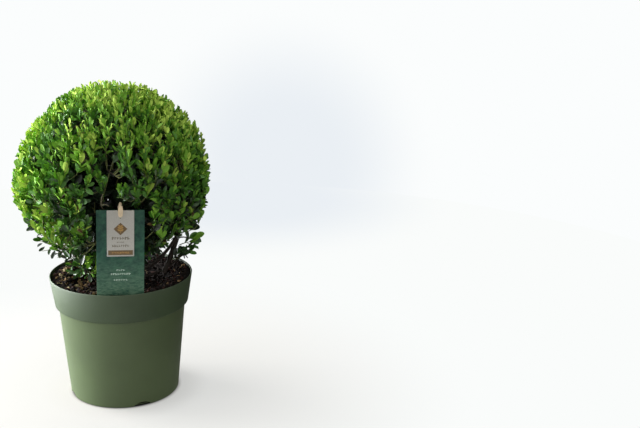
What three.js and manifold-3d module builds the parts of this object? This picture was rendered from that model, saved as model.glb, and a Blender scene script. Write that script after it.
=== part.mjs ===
// Potted Japanese holly, clipped to a ball, in a round grower's pot with a label and a small peg.
// Millimetres, +Z up. The origin is the centre of the pot's flat underside and -Y is the front.

import * as THREE from 'three';
import { mergeVertices } from 'three/addons/utils/BufferGeometryUtils.js';
import Module from 'manifold-3d';

const wasm = await Module();
wasm.setup();

// Clearance between pieces that touch, and the distance under which vertices are one
const GAP = 0.3;
const WELD = 1e-4;

// Pot: a tapered wall with a wider rim band, and arched drain notches round its foot
const POT_HEIGHT = 167.3;
const POT_RIM_RADIUS = 95;
const POT_BAND_HEIGHT = 41;
const POT_BAND_FOOT_RADIUS = 89.2;
const POT_SHOULDER_RADIUS = 84.6;
const POT_SHOULDER_DROP = 0.9;
const POT_FOOT_RADIUS = 73.5;
const POT_FOOT_ROUND = 3;
const POT_WALL = 1.8;
const POT_SIDES = 40;
const NOTCH_AZIMUTHS = [-73, 17, 107, 197];
const NOTCH_WIDTH = 20;
const NOTCH_HEIGHT = 5;
const NOTCH_DEPTH = 9;
const NOTCH_BELOW = 1;
const NOTCH_ARCH_STEPS = 5;

// Potting soil: level round the stem and lumpy towards the rim
const SOIL_TOP = 150;
const SOIL_LEVEL_RADIUS = 20;
const SOIL_RINGS = [20, 45, 68];
const SOIL_LUMP = 3;
const SOIL_WALL_GAP = 0.5;
const SOIL_EDGE_DROP = 1;
const SOIL_SEED = 11;
const SOIL_SIDES = 24;

// Main stem, from its flat cut at the soil to the fork, in heights above the soil
const STEM_FOOT = [3, 4, GAP];
const STEM_BEND = [-1, 5, 26];
const STEM_FORK = [-2, 0, 52];
const STEM_FORK_RADIUS = 6.2;
const STEM_BODY_RADIUS = 8;
const STEM_FLARE = 6;
const STEM_FLARE_FADE = 7;
const STEM_ROOT_LOBES = 3;
const STEM_LOBE_DEPTH = 0.35;
const STEM_SIDES = 9;
const STEM_STEPS = 6;

// Crown: a ball a little taller than wide, worked out above the soil
const CROWN_CENTRE = new THREE.Vector3(-5, 0, 148);
const CROWN_RADIUS = 126;
const CROWN_HALF_HEIGHT = 129;
const CROWN_FRONT_SEAM = -97;
const CROWN_THROAT_ANGLE = 32;
const CROWN_LEAF_ANGLE = 28;
const CROWN_LUMPS = [
  { azimuth: 0, latitude: 33, height: 6, spread: 10 },
  { azimuth: 180, latitude: -7, height: 5, spread: 11 },
  { azimuth: 0, latitude: -10, height: -10, spread: 5 },
  { azimuth: 180, latitude: 50, height: -4, spread: 18 },
  { azimuth: CROWN_FRONT_SEAM, latitude: 8, height: -16, spread: 7 },
];
const RAGGED_TOP_LATITUDE = -18;
const RAGGED_FULL_LATITUDE = -50;
const RAGGED_DEPTH = 0.16;
const RAGGED_WAVES = [{ share: 0.3, lobes: 7, twist: 0 }, { share: 0.2, lobes: 13, twist: 8 }];

// Boughs: one to each mass of foliage
const BOUGH_SIDES = 5;
const BOUGH_STEPS = 4;
const RING_COUNT = 5;
const RING_STEP = 360 / RING_COUNT;
const TOP_BOUGH = { footRadius: 5.2, tipRadius: 2.6, tipReach: 0.36, bend: 60 };
const UPPER_BOUGH = { foot: 27, footRadius: 3.8, tipRadius: 2.3, tipReach: 0.36, tipLatitude: 8 };
const UPPER_BEND = { out: 27, up: 46 };
const LOWER_BOUGH = { foot: 15, footRadius: 3.6, tipRadius: 2, tipHeight: 70 };
const LOWER_REACHES = [42, 78, 56, 66, 54];
const LOWER_BEND_SHARE = 0.62;
const LOWER_BEND_RISE = 6;
const SPRIG_BOUGH = { foot: 6, footRadius: 2.6, tipRadius: 1.5, rise: 3 };

// Masses: share of the crown's reach where each stem ends, and its core's inside and outside
const UPPER_SHAPE = { stem: 0.62, hollow: 0.45, core: 0.85, anchor: 0.78, shoot: 0.91, leaves: 4 };
const LOWER_SHAPE = { stem: 0.67, hollow: 0.6, core: 0.79, anchor: 0.7, shoot: 0.88, leaves: 4 };
const UPPER_LATITUDE = 20;
const LOWER_LATITUDE = -32;
const CELL_MARGIN = 0.35;
const CORE_DETAIL = 2;
const CORE_LUMP = 0.035;
const CORE_SEED = 23;
const THROAT_SIDES = 16;
const SPRIGS = [
  { name: 'right', azimuth: -10, tip: [62, 24], centre: [84, 46], radius: 33 },
  { name: 'front_left', azimuth: -142, tip: [38, 20], centre: [58, 36], radius: 31 },
  { name: 'back_left', azimuth: 156, tip: [50, 22], centre: [70, 40], radius: 31 },
  { name: 'back_right', azimuth: 52, tip: [44, 21], centre: [66, 38], radius: 31 },
];
const SPRIG_SHOOTS = 4;
const SPRIG_SHAPE = { shoot: 0.45, leaves: 4 };

// Twigs: sprays of directions shared out over the crown, then shoots that carry the leaves
const TWIG_COUNT = 44;
const SHOOT_COUNT = 104;
const TWIG_SCATTER = 0.16;
const SHOOT_SCATTER = 0.1;
const TWIG_RADIUS = 2.4;
const SHOOT_RADIUS = 2.4;
const SHOOT_TIP_RADIUS = 2.1;
const TWIG_SIDES = 3;
const MASS_STEM_STEPS = 3;
const TWIG_STEPS = 2;
const PATH_SHARES = [0.25, 0.5, 0.75, 1];
const TWIG_FOOT_SHARE = 0.75;
const TWIG_BOW = 0.15;
const TWIG_SEED = 101;
const SHOOT_SEED = 202;
const MASS_SEED = 1000;
const GOLDEN_ANGLE = Math.PI * (3 - Math.sqrt(5));

// Leaves: pointed blades, fewer and larger than life
const LEAF_LENGTH = 32;
const LEAF_LENGTH_LEAST = 18;
const LEAF_WIDTH_SHARE = 0.52;
const LEAF_THICKNESS = 1.6;
const LEAF_SINK = 1;
const LEAF_TILT = 54;
const LEAF_TILT_SPREAD = 26;
const LEAF_TRIES = 8;
const LEAF_STEP = 2;
const LEAF_ROOT_SPAN = 0.6;
const TIP_LEAF_TILT = 0.5;
const LEAF_APART = 2.2;
const LEAF_RIB_SHARES = [0.25, 0.5, 0.75, 1];
const LEAF_EDGE_SHARES = [[0.3, 0.6], [0.5, 1], [0.7, 0.6]];
const LEAF_LENGTH_SPREAD = 0.12;
const LIMB_CLEARANCE = 1;
const LIMB_SAMPLES = 24;
const SOIL_CLEARANCE = 5;
const RIM_CLEARANCE = 4;

// Label: a card pushed into the soil inside the front rim, with a paper panel and a peg on its top edge
const LABEL_FOOT = new THREE.Vector3(-2.9, -81.4, -12);
const LABEL_WIDTH = 59;
const LABEL_HEIGHT = 144.5;
const LABEL_THICKNESS = 1;
const LABEL_LEAN = 7.5;
const LABEL_ROLL = 1.8;
const PANEL_WIDTH = 33.4;
const PANEL_HEIGHT = 62.5;
const PANEL_THICKNESS = 0.8;
const LABEL_SPACE_SIDE = 3;
const LABEL_SPACE_TOP = 11;
const LABEL_SPACE_BACK = 8;
const LABEL_SPACE_FRONT = 60;
const PEG_LENGTH = 18;
const PEG_OVERLAP = 8.6;
const PEG_WIDTH = 6;
const PEG_LEG_THICKNESS = 2.4;
const PEG_JAW_SHARE = 0.6;
const PEG_WAIST_SHARE = 0.4;
const PEG_END_SHARE = 0.8;
const SPRING_SIDES = 8;
const SPRING_HEIGHT = 3.2;

const UP = new THREE.Vector3(0, 0, 1);

const materials = {
  pot: new THREE.MeshStandardMaterial({ color: 0x5e7c5a, roughness: 0.62, metalness: 0 }),
  soil: new THREE.MeshStandardMaterial({ color: 0x2b1d15, roughness: 0.95, metalness: 0 }),
  bark: new THREE.MeshStandardMaterial({ color: 0x6b5a45, roughness: 0.85, metalness: 0 }),
  leaf: new THREE.MeshStandardMaterial({ color: 0x5a8c28, roughness: 0.45, metalness: 0 }),
  lowLeaf: new THREE.MeshStandardMaterial({ color: 0x3c6426, roughness: 0.45, metalness: 0 }),
  card: new THREE.MeshStandardMaterial({ color: 0x24594f, roughness: 0.5, metalness: 0 }),
  panel: new THREE.MeshStandardMaterial({ color: 0xb9b5ab, roughness: 0.6, metalness: 0 }),
  pegWood: new THREE.MeshStandardMaterial({ color: 0xd9b98a, roughness: 0.6, metalness: 0 }),
  wire: new THREE.MeshStandardMaterial({ color: 0x9a9a98, roughness: 0.35, metalness: 1 }),
};

// Small helpers for numbers and directions

function seededRandom(seed) {
  let state = seed;
  return () => {
    state = (state + 0x6d2b79f5) | 0;
    let mixed = Math.imul(state ^ (state >>> 15), 1 | state);
    mixed = (mixed + Math.imul(mixed ^ (mixed >>> 7), 61 | mixed)) ^ mixed;
    return ((mixed ^ (mixed >>> 14)) >>> 0) / 2 ** 32;
  };
}

function radians(degrees) {
  return THREE.MathUtils.degToRad(degrees);
}

function unitFrom(azimuth, latitude) {
  const level = Math.cos(radians(latitude));
  const turn = radians(azimuth);
  return new THREE.Vector3(level * Math.cos(turn), level * Math.sin(turn), Math.sin(radians(latitude)));
}

function latitudeOf(direction) {
  return THREE.MathUtils.radToDeg(Math.asin(direction.z));
}

function bezier(start, bend, end) {
  return new THREE.QuadraticBezierCurve3(start, bend, end);
}

// Solids: closed meshes, joined and cut

function closedMesh(geometry) {
  const bare = geometry.clone();
  bare.deleteAttribute('normal');
  bare.deleteAttribute('uv');
  const merged = mergeVertices(bare, WELD);
  const corners = merged.index.array;
  const kept = [];
  for (let at = 0; at < corners.length; at += 3) {
    const [a, b, c] = [corners[at], corners[at + 1], corners[at + 2]];
    if (a !== b && b !== c && c !== a) kept.push(a, b, c);
  }
  merged.setIndex(kept);
  return merged;
}

function toSolid(geometry) {
  const closed = closedMesh(geometry);
  const vertProperties = new Float32Array(closed.attributes.position.array);
  const triVerts = new Uint32Array(closed.index.array);
  return new wasm.Manifold(new wasm.Mesh({ numProp: 3, vertProperties, triVerts }));
}

function toGeometry(solid) {
  const mesh = solid.getMesh();
  const geometry = new THREE.BufferGeometry();
  geometry.setAttribute('position', new THREE.BufferAttribute(mesh.vertProperties, 3));
  geometry.setIndex(new THREE.BufferAttribute(mesh.triVerts, 1));
  geometry.computeVertexNormals();
  return geometry;
}

// The largest outer shell: loose scraps and sealed hollows are left behind
function largestShell(solid) {
  const shells = solid.decompose();
  return shells.reduce((best, shell) => (shell.volume() > best.volume() ? shell : best));
}

// A closed tube with one ring of corners at each step along a curve
function limbGeometry(curve, radiusAt, sides, steps, roll = 0) {
  const frames = curve.computeFrenetFrames(steps, false);
  const positions = [];
  for (let step = 0; step <= steps; step += 1) {
    const share = step / steps;
    const centre = curve.getPointAt(share);
    for (let side = 0; side < sides; side += 1) {
      const turn = (2 * Math.PI * side) / sides;
      const radius = radiusAt(share, turn);
      const corner = centre.clone();
      corner.addScaledVector(frames.normals[step], radius * Math.cos(turn + roll));
      corner.addScaledVector(frames.binormals[step], radius * Math.sin(turn + roll));
      positions.push(corner.x, corner.y, corner.z);
    }
  }
  const geometry = new THREE.BufferGeometry();
  geometry.setAttribute('position', new THREE.Float32BufferAttribute(positions, 3));
  geometry.setIndex(limbFaces(sides, steps));
  return geometry;
}

function limbFaces(sides, steps) {
  const faces = [];
  for (let step = 0; step < steps; step += 1) {
    for (let side = 0; side < sides; side += 1) {
      const next = (side + 1) % sides;
      const low = step * sides;
      const high = low + sides;
      faces.push(low + side, low + next, high + next);
      faces.push(low + side, high + next, high + side);
    }
  }
  const last = steps * sides;
  for (let side = 1; side < sides - 1; side += 1) {
    faces.push(0, side + 1, side);
    faces.push(last, last + side, last + side + 1);
  }
  return faces;
}

function taper(startRadius, endRadius) {
  return (share) => startRadius + (endRadius - startRadius) * share;
}

// Pot and soil

function potProfile() {
  const bandFoot = POT_HEIGHT - POT_BAND_HEIGHT;
  const shoulder = bandFoot - POT_SHOULDER_DROP;
  const points = [
    [0, 0],
    [POT_FOOT_RADIUS - POT_FOOT_ROUND, 0],
    [POT_FOOT_RADIUS, POT_FOOT_ROUND],
    [POT_SHOULDER_RADIUS, shoulder],
    [POT_BAND_FOOT_RADIUS, bandFoot],
    [POT_RIM_RADIUS, POT_HEIGHT],
    [POT_RIM_RADIUS - POT_WALL, POT_HEIGHT],
    [POT_BAND_FOOT_RADIUS - POT_WALL, bandFoot + POT_WALL],
    [POT_SHOULDER_RADIUS - POT_WALL, shoulder + POT_WALL],
    [POT_FOOT_RADIUS - POT_WALL, POT_FOOT_ROUND + POT_WALL],
    [POT_FOOT_RADIUS - POT_FOOT_ROUND - POT_WALL, POT_WALL],
    [0, POT_WALL],
  ];
  return points.map(([radius, height]) => new THREE.Vector2(radius, height));
}

// Lathe profiles run along Y, so the turned shape is stood up along Z
function turned(profile, sides) {
  const geometry = new THREE.LatheGeometry(profile, sides);
  geometry.rotateX(Math.PI / 2);
  return geometry;
}

function notchGeometry(azimuth) {
  const arch = new THREE.Shape();
  arch.moveTo(-NOTCH_WIDTH / 2, -NOTCH_BELOW);
  arch.lineTo(NOTCH_WIDTH / 2, -NOTCH_BELOW);
  for (let step = 0; step <= NOTCH_ARCH_STEPS; step += 1) {
    const turn = (Math.PI * step) / NOTCH_ARCH_STEPS;
    arch.lineTo((NOTCH_WIDTH / 2) * Math.cos(turn), NOTCH_HEIGHT * Math.sin(turn));
  }
  const geometry = new THREE.ExtrudeGeometry(arch, { depth: NOTCH_DEPTH, bevelEnabled: false });
  geometry.rotateX(Math.PI / 2);
  geometry.rotateZ(Math.PI / 2);
  geometry.translate(POT_FOOT_RADIUS + POT_WALL - NOTCH_DEPTH, 0, 0);
  geometry.rotateZ(radians(azimuth));
  return geometry;
}

function makePot() {
  let pot = toSolid(turned(potProfile(), POT_SIDES));
  for (const azimuth of NOTCH_AZIMUTHS) {
    pot = pot.subtract(toSolid(notchGeometry(azimuth)));
  }
  return toGeometry(largestShell(pot));
}

function innerRadiusAt(height) {
  const bandFoot = POT_HEIGHT - POT_BAND_HEIGHT;
  const share = (height - bandFoot) / POT_BAND_HEIGHT;
  return POT_BAND_FOOT_RADIUS + (POT_RIM_RADIUS - POT_BAND_FOOT_RADIUS) * share - POT_WALL;
}

// The lowest and highest soil rings follow the pot's inside, a gap away
function makeSoil() {
  const shoulder = POT_HEIGHT - POT_BAND_HEIGHT - POT_SHOULDER_DROP;
  const skin = POT_WALL + SOIL_WALL_GAP;
  const profile = [
    [0, skin],
    [POT_FOOT_RADIUS - POT_FOOT_ROUND - skin, skin],
    [POT_FOOT_RADIUS - skin, POT_FOOT_ROUND + skin],
    [POT_SHOULDER_RADIUS - skin, shoulder],
    [POT_SHOULDER_RADIUS - skin, shoulder + POT_WALL + skin],
    [innerRadiusAt(SOIL_TOP) - skin, SOIL_TOP - SOIL_EDGE_DROP],
  ];
  for (const radius of [...SOIL_RINGS].reverse()) profile.push([radius, SOIL_TOP]);
  profile.push([0, SOIL_TOP]);
  const points = profile.map(([radius, height]) => new THREE.Vector2(radius, height));
  const soil = closedMesh(turned(points, SOIL_SIDES));
  const random = seededRandom(SOIL_SEED);
  const position = soil.attributes.position;
  for (let at = 0; at < position.count; at += 1) {
    const reach = Math.hypot(position.getX(at), position.getY(at));
    const lump = SOIL_LUMP * (2 * random() - 1);
    if (position.getZ(at) > SOIL_TOP - WELD && reach > SOIL_LEVEL_RADIUS + 1) {
      position.setZ(at, SOIL_TOP + lump);
    }
  }
  const slot = new THREE.BoxGeometry(LABEL_WIDTH + 2 * GAP, LABEL_THICKNESS + 2 * GAP, LABEL_HEIGHT);
  slot.translate(0, 0, LABEL_HEIGHT / 2 - GAP);
  slot.applyMatrix4(labelMatrix());
  slot.translate(0, 0, SOIL_TOP);
  return toGeometry(largestShell(toSolid(soil).subtract(toSolid(slot))));
}

// Label: its own frame has its origin at the middle of the card's foot

function labelMatrix() {
  const turn = new THREE.Euler(radians(LABEL_LEAN), radians(LABEL_ROLL), 0);
  const matrix = new THREE.Matrix4().makeRotationFromEuler(turn);
  return matrix.setPosition(LABEL_FOOT);
}

function cardGeometry() {
  const card = new THREE.BoxGeometry(LABEL_WIDTH, LABEL_THICKNESS, LABEL_HEIGHT);
  return card.translate(0, 0, LABEL_HEIGHT / 2);
}

function panelGeometry() {
  const panel = new THREE.BoxGeometry(PANEL_WIDTH, PANEL_THICKNESS, PANEL_HEIGHT);
  const front = -(LABEL_THICKNESS / 2 + GAP + PANEL_THICKNESS / 2);
  return panel.translate(0, front, LABEL_HEIGHT - PANEL_HEIGHT / 2);
}

// A peg leg: a tapered slip of wood whose outer face narrows to the jaw
function pegLegGeometry(facing) {
  const side = new THREE.Shape();
  side.moveTo(0, 0);
  side.lineTo(PEG_LEG_THICKNESS * PEG_JAW_SHARE, 0);
  side.lineTo(PEG_LEG_THICKNESS, PEG_LENGTH * PEG_WAIST_SHARE);
  side.lineTo(PEG_LEG_THICKNESS * PEG_END_SHARE, PEG_LENGTH);
  side.lineTo(0, PEG_LENGTH);
  const leg = new THREE.ExtrudeGeometry(side, { depth: PEG_WIDTH, bevelEnabled: false });
  leg.rotateX(Math.PI / 2);
  leg.rotateZ(facing > 0 ? Math.PI / 2 : -Math.PI / 2);
  leg.translate(facing > 0 ? -PEG_WIDTH / 2 : PEG_WIDTH / 2, 0, LABEL_HEIGHT - PEG_OVERLAP);
  return leg;
}

function pegFace(facing) {
  const back = LABEL_THICKNESS / 2 + GAP;
  const front = -(back + PANEL_THICKNESS + GAP);
  return facing > 0 ? back : front;
}

// The wire coil lies across, between the legs and above the card's edge
function springGeometry() {
  const radius = (pegFace(1) - pegFace(-1)) / 2 - GAP;
  const coil = new THREE.CylinderGeometry(radius, radius, PEG_WIDTH, SPRING_SIDES);
  coil.rotateZ(Math.PI / 2);
  return coil.translate(0, pegFace(1) - GAP - radius, LABEL_HEIGHT + SPRING_HEIGHT);
}

// Crown: where its surface lies, which mass a point belongs to and what is in the way

function lumpAt(direction) {
  let height = 0;
  for (const lump of CROWN_LUMPS) {
    const away = direction.angleTo(unitFrom(lump.azimuth, lump.latitude)) / radians(lump.spread);
    height += lump.height * Math.exp(-away * away);
  }
  return height;
}

function raggedness(direction) {
  const depth = -latitudeOf(direction);
  const low = THREE.MathUtils.smoothstep(depth, -RAGGED_TOP_LATITUDE, -RAGGED_FULL_LATITUDE);
  const turn = Math.atan2(direction.y, direction.x);
  let wave = 0.5;
  for (const { share, lobes, twist } of RAGGED_WAVES) {
    wave += share * Math.sin(lobes * turn + twist * direction.z);
  }
  return 1 - RAGGED_DEPTH * low * wave;
}

function surfaceRadius(direction) {
  const level = Math.hypot(direction.x, direction.y) / CROWN_RADIUS;
  const rise = direction.z / CROWN_HALF_HEIGHT;
  return (1 / Math.hypot(level, rise) + lumpAt(direction)) * raggedness(direction);
}

function crownPoint(direction, share) {
  return CROWN_CENTRE.clone().addScaledVector(direction, surfaceRadius(direction) * share);
}

function insideSurface(point) {
  const offset = point.clone().sub(CROWN_CENTRE);
  const reach = offset.length();
  return reach <= surfaceRadius(offset.normalize());
}

const crownDirections = [UP.clone()];
for (let index = 0; index < RING_COUNT; index += 1) {
  crownDirections.push(unitFrom(CROWN_FRONT_SEAM + RING_STEP * (index + 0.5), UPPER_LATITUDE));
}
for (let index = 0; index < RING_COUNT; index += 1) {
  crownDirections.push(unitFrom(CROWN_FRONT_SEAM + RING_STEP * index, LOWER_LATITUDE));
}

// The flat faces between a mass and the others, each with its normal towards the mass
function cellFaces(home) {
  const own = crownDirections[home];
  const others = crownDirections.filter((direction, index) => index !== home);
  return others.map((other) => own.clone().sub(other).normalize());
}

const crownCells = crownDirections.map((direction, index) => cellFaces(index));

function insideCell(home, point, room = 0) {
  const offset = point.clone().sub(CROWN_CENTRE);
  return crownCells[home].every((face) => face.dot(offset) > CELL_MARGIN + room);
}

function homeOf(direction) {
  let best = 0;
  crownDirections.forEach((candidate, index) => {
    if (candidate.dot(direction) > crownDirections[best].dot(direction)) best = index;
  });
  return best;
}

const toLabel = labelMatrix().invert();

function clearOfLabel(point) {
  const local = point.clone().applyMatrix4(toLabel);
  const beside = Math.abs(local.x) > LABEL_WIDTH / 2 + LABEL_SPACE_SIDE;
  const above = local.z > LABEL_HEIGHT + LABEL_SPACE_TOP;
  return beside || above || local.y > LABEL_SPACE_BACK;
}

function sprigCentre(sprig) {
  return unitFrom(sprig.azimuth, 0).multiplyScalar(sprig.centre[0]).setZ(sprig.centre[1]);
}

function clearOfSprigs(point) {
  return SPRIGS.every((sprig) => sprigCentre(sprig).distanceTo(point) > sprig.radius + CELL_MARGIN);
}

function clearOfPot(point) {
  if (point.z > POT_HEIGHT - SOIL_TOP + RIM_CLEARANCE) return true;
  const reach = Math.hypot(point.x, point.y);
  return point.z > SOIL_CLEARANCE && reach < innerRadiusAt(SOIL_TOP) - RIM_CLEARANCE;
}

const limbSamples = [];

function rememberLimb(curve, radiusAt) {
  for (let step = 0; step <= LIMB_SAMPLES; step += 1) {
    const share = step / LIMB_SAMPLES;
    limbSamples.push({ point: curve.getPointAt(share), radius: radiusAt(share, 0) });
  }
}

function clearOfLimbs(point, room = 0) {
  const apart = LIMB_CLEARANCE + room;
  return limbSamples.every((limb) => limb.point.distanceTo(point) > limb.radius + apart);
}

// Stem and boughs

const stemCurve = bezier(
  new THREE.Vector3(...STEM_FOOT),
  new THREE.Vector3(...STEM_BEND),
  new THREE.Vector3(...STEM_FORK),
);

function stemRadius(share, turn) {
  const body = STEM_BODY_RADIUS + (STEM_FORK_RADIUS - STEM_BODY_RADIUS) * share;
  const flare = STEM_FLARE * Math.exp(-share * STEM_FLARE_FADE);
  return body + flare * (1 + STEM_LOBE_DEPTH * Math.cos(STEM_ROOT_LOBES * turn));
}

// The stem's foot is cut flat and level
function stemSolid(extra) {
  const radiusAt = (share, turn) => stemRadius(share, turn) + extra;
  const tube = limbGeometry(stemCurve, radiusAt, STEM_SIDES, STEM_STEPS);
  const position = tube.attributes.position;
  for (let side = 0; side < STEM_SIDES; side += 1) position.setZ(side, STEM_FOOT[2]);
  return toSolid(tube);
}

function stemPointAt(height) {
  const share = (height - STEM_FOOT[2]) / (STEM_FORK[2] - STEM_FOOT[2]);
  return stemCurve.getPointAt(THREE.MathUtils.clamp(share, 0, 1));
}

function boughTo(shape, bend, tip) {
  const curve = bezier(stemPointAt(shape.foot), bend, tip);
  return { curve, radiusAt: taper(shape.footRadius, shape.tipRadius) };
}

// The top bough carries straight on from the fork
function topBough() {
  const heading = stemCurve.getTangent(1);
  const foot = stemCurve.getPoint(1).addScaledVector(heading, GAP);
  const bend = foot.clone().addScaledVector(heading, TOP_BOUGH.bend);
  const tip = CROWN_CENTRE.clone().addScaledVector(UP, CROWN_RADIUS * TOP_BOUGH.tipReach);
  return { curve: bezier(foot, bend, tip), radiusAt: taper(TOP_BOUGH.footRadius, TOP_BOUGH.tipRadius) };
}

function upperBough(azimuth) {
  const tipDirection = unitFrom(azimuth, UPPER_BOUGH.tipLatitude);
  const tip = CROWN_CENTRE.clone().addScaledVector(tipDirection, CROWN_RADIUS * UPPER_BOUGH.tipReach);
  const bend = unitFrom(azimuth, 0).multiplyScalar(UPPER_BEND.out);
  bend.z = UPPER_BOUGH.foot + UPPER_BEND.up;
  return boughTo(UPPER_BOUGH, bend, tip);
}

function lowerBough(azimuth, reach) {
  const outward = unitFrom(azimuth, 0);
  const tip = outward.clone().multiplyScalar(reach).setZ(LOWER_BOUGH.tipHeight);
  const bend = outward.multiplyScalar(reach * LOWER_BEND_SHARE).setZ(LOWER_BOUGH.foot + LOWER_BEND_RISE);
  return boughTo(LOWER_BOUGH, bend, tip);
}

function sprigBough(sprig) {
  const outward = unitFrom(sprig.azimuth, 0);
  const tip = outward.clone().multiplyScalar(sprig.tip[0]).setZ(sprig.tip[1]);
  const bend = outward.multiplyScalar(sprig.tip[0] * LOWER_BEND_SHARE);
  bend.z = SPRIG_BOUGH.foot + SPRIG_BOUGH.rise;
  return boughTo(SPRIG_BOUGH, bend, tip);
}

// Each later bough is cut clear of the stem and of the boughs before it
function boughSolids(boughs) {
  let taken = stemSolid(GAP);
  return boughs.map(({ curve, radiusAt }) => {
    const wide = limbGeometry(curve, (share) => radiusAt(share) + GAP, BOUGH_SIDES, BOUGH_STEPS);
    const bough = toSolid(limbGeometry(curve, radiusAt, BOUGH_SIDES, BOUGH_STEPS));
    const cut = largestShell(bough.subtract(taken));
    taken = taken.add(toSolid(wide));
    return cut;
  });
}

// Masses of foliage: a stem that carries on from the bough, twigs, shoots and leaves

function spreadDirections(count, scatter, random) {
  const directions = [];
  for (let index = 0; index < count; index += 1) {
    const height = 1 - (2 * index + 1) / count;
    const level = Math.sqrt(1 - height * height);
    const turn = index * GOLDEN_ANGLE;
    const direction = new THREE.Vector3(level * Math.cos(turn), level * Math.sin(turn), height);
    direction.x += scatter * (random() - 0.5);
    direction.y += scatter * (random() - 0.5);
    direction.z += scatter * (random() - 0.5);
    directions.push(direction.normalize());
  }
  return directions;
}

function nearestTo(point, candidates) {
  return candidates.reduce((best, candidate) => (
    candidate.tip.distanceTo(point) < best.tip.distanceTo(point) ? candidate : best
  ));
}

// A leaf's root is behind its origin, so that it sinks into the shoot
function leafGeometry(leaf) {
  const blade = new THREE.OctahedronGeometry(0.5);
  blade.scale(leaf.length, leaf.length * LEAF_WIDTH_SHARE, LEAF_THICKNESS);
  blade.translate(leaf.length / 2 - LEAF_SINK, 0, 0);
  const across = leaf.face.clone().cross(leaf.direction);
  const matrix = new THREE.Matrix4().makeBasis(leaf.direction, across, leaf.face);
  return blade.applyMatrix4(matrix.setPosition(leaf.root));
}

function leafSamples(leaf) {
  const across = leaf.face.clone().cross(leaf.direction);
  const half = (leaf.length * LEAF_WIDTH_SHARE) / 2;
  const { root, direction, length } = leaf;
  const along = (share) => root.clone().addScaledVector(direction, length * share - LEAF_SINK);
  const samples = LEAF_RIB_SHARES.map(along);
  for (const side of [-half, half]) {
    for (const [share, reach] of LEAF_EDGE_SHARES) {
      samples.push(along(share).addScaledVector(across, side * reach));
    }
  }
  return samples;
}

// Whether a point is inside a leaf, or nearly
function nearLeaf(leaf, point) {
  const offset = point.clone().sub(leaf.root);
  const along = Math.abs(offset.dot(leaf.direction) + LEAF_SINK - leaf.length / 2) / (leaf.length / 2 + 1);
  const across = leaf.face.clone().cross(leaf.direction);
  const side = Math.abs(offset.dot(across)) / ((leaf.length * LEAF_WIDTH_SHARE) / 2 + 1);
  const rise = Math.abs(offset.dot(leaf.face)) / (LEAF_THICKNESS / 2 + LEAF_APART);
  return along + side + rise < 1;
}

function crossesLeaf(leaf, others) {
  const samples = leafSamples(leaf);
  return others.some((other) => {
    const entered = leafSamples(other).some((point) => nearLeaf(leaf, point));
    return entered || samples.some((point) => nearLeaf(other, point));
  });
}

// The longest leaf on this root and direction that keeps to its space, if there is one
function fittedLeaf(root, direction, face, fits, others, random) {
  const longest = LEAF_LENGTH * (1 - LEAF_LENGTH_SPREAD * random());
  for (let length = longest; length >= LEAF_LENGTH_LEAST; length -= LEAF_STEP) {
    const leaf = { root, direction, face, length };
    if (leafSamples(leaf).every((point) => fits(point)) && !crossesLeaf(leaf, others)) return leaf;
  }
  return null;
}

// Leaf 0 ends the shoot, and the others leave through the middles of its three faces
function leafOnShoot(shoot, order, count, fits, others, random) {
  const frames = shoot.path.computeFrenetFrames(1, false);
  const axis = frames.tangents[0];
  const root = shoot.foot.clone().lerp(shoot.tip, 1 - LEAF_ROOT_SPAN * (order / count));
  for (let attempt = 0; attempt < LEAF_TRIES; attempt += 1) {
    const turn = shoot.roll + (Math.PI * (1 + 2 * (order + attempt))) / TWIG_SIDES;
    const upright = order === 0 ? TIP_LEAF_TILT : 1;
    const tilt = radians(LEAF_TILT + LEAF_TILT_SPREAD * (random() - 0.5)) * upright;
    const side = frames.normals[0].clone().multiplyScalar(Math.cos(turn));
    side.addScaledVector(frames.binormals[0], Math.sin(turn));
    const direction = axis.clone().multiplyScalar(Math.cos(tilt)).addScaledVector(side, Math.sin(tilt));
    const face = axis.clone().addScaledVector(direction, -axis.dot(direction));
    const leaf = fittedLeaf(root, direction.normalize(), face.normalize(), fits, others, random);
    if (leaf) return leaf;
  }
  return null;
}

function massStem(bough, end) {
  const tip = bough.curve.getPoint(1);
  const heading = bough.curve.getTangent(1);
  const foot = tip.clone().addScaledVector(heading, GAP);
  const bend = foot.clone().addScaledVector(heading, foot.distanceTo(end) / 2);
  return bezier(foot, bend, end);
}

// Twigs leave the outer part of the stem and bow outwards to their tips
function growTwigs(stem, tips, fits, random) {
  const twigs = tips.map((tip) => {
    const foot = stem.getPointAt(TWIG_FOOT_SHARE + (1 - TWIG_FOOT_SHARE) * random());
    const bend = foot.clone().lerp(tip, 0.5);
    bend.addScaledVector(stem.getTangentAt(1), foot.distanceTo(tip) * TWIG_BOW);
    return { foot, tip, path: bezier(foot, bend, tip) };
  });
  return twigs.filter((twig) => pathFits(twig.path, fits));
}

function growShoots(twigs, tips, fits, random) {
  const shoots = tips.map((tip) => {
    const foot = nearestTo(tip, twigs).tip;
    return { foot, tip, path: new THREE.LineCurve3(foot, tip), roll: 2 * Math.PI * random() };
  });
  return shoots.filter((shoot) => pathFits(shoot.path, fits));
}

function pathFits(path, fits) {
  return PATH_SHARES.every((share) => fits(path.getPoint(share), TWIG_RADIUS));
}

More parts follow.
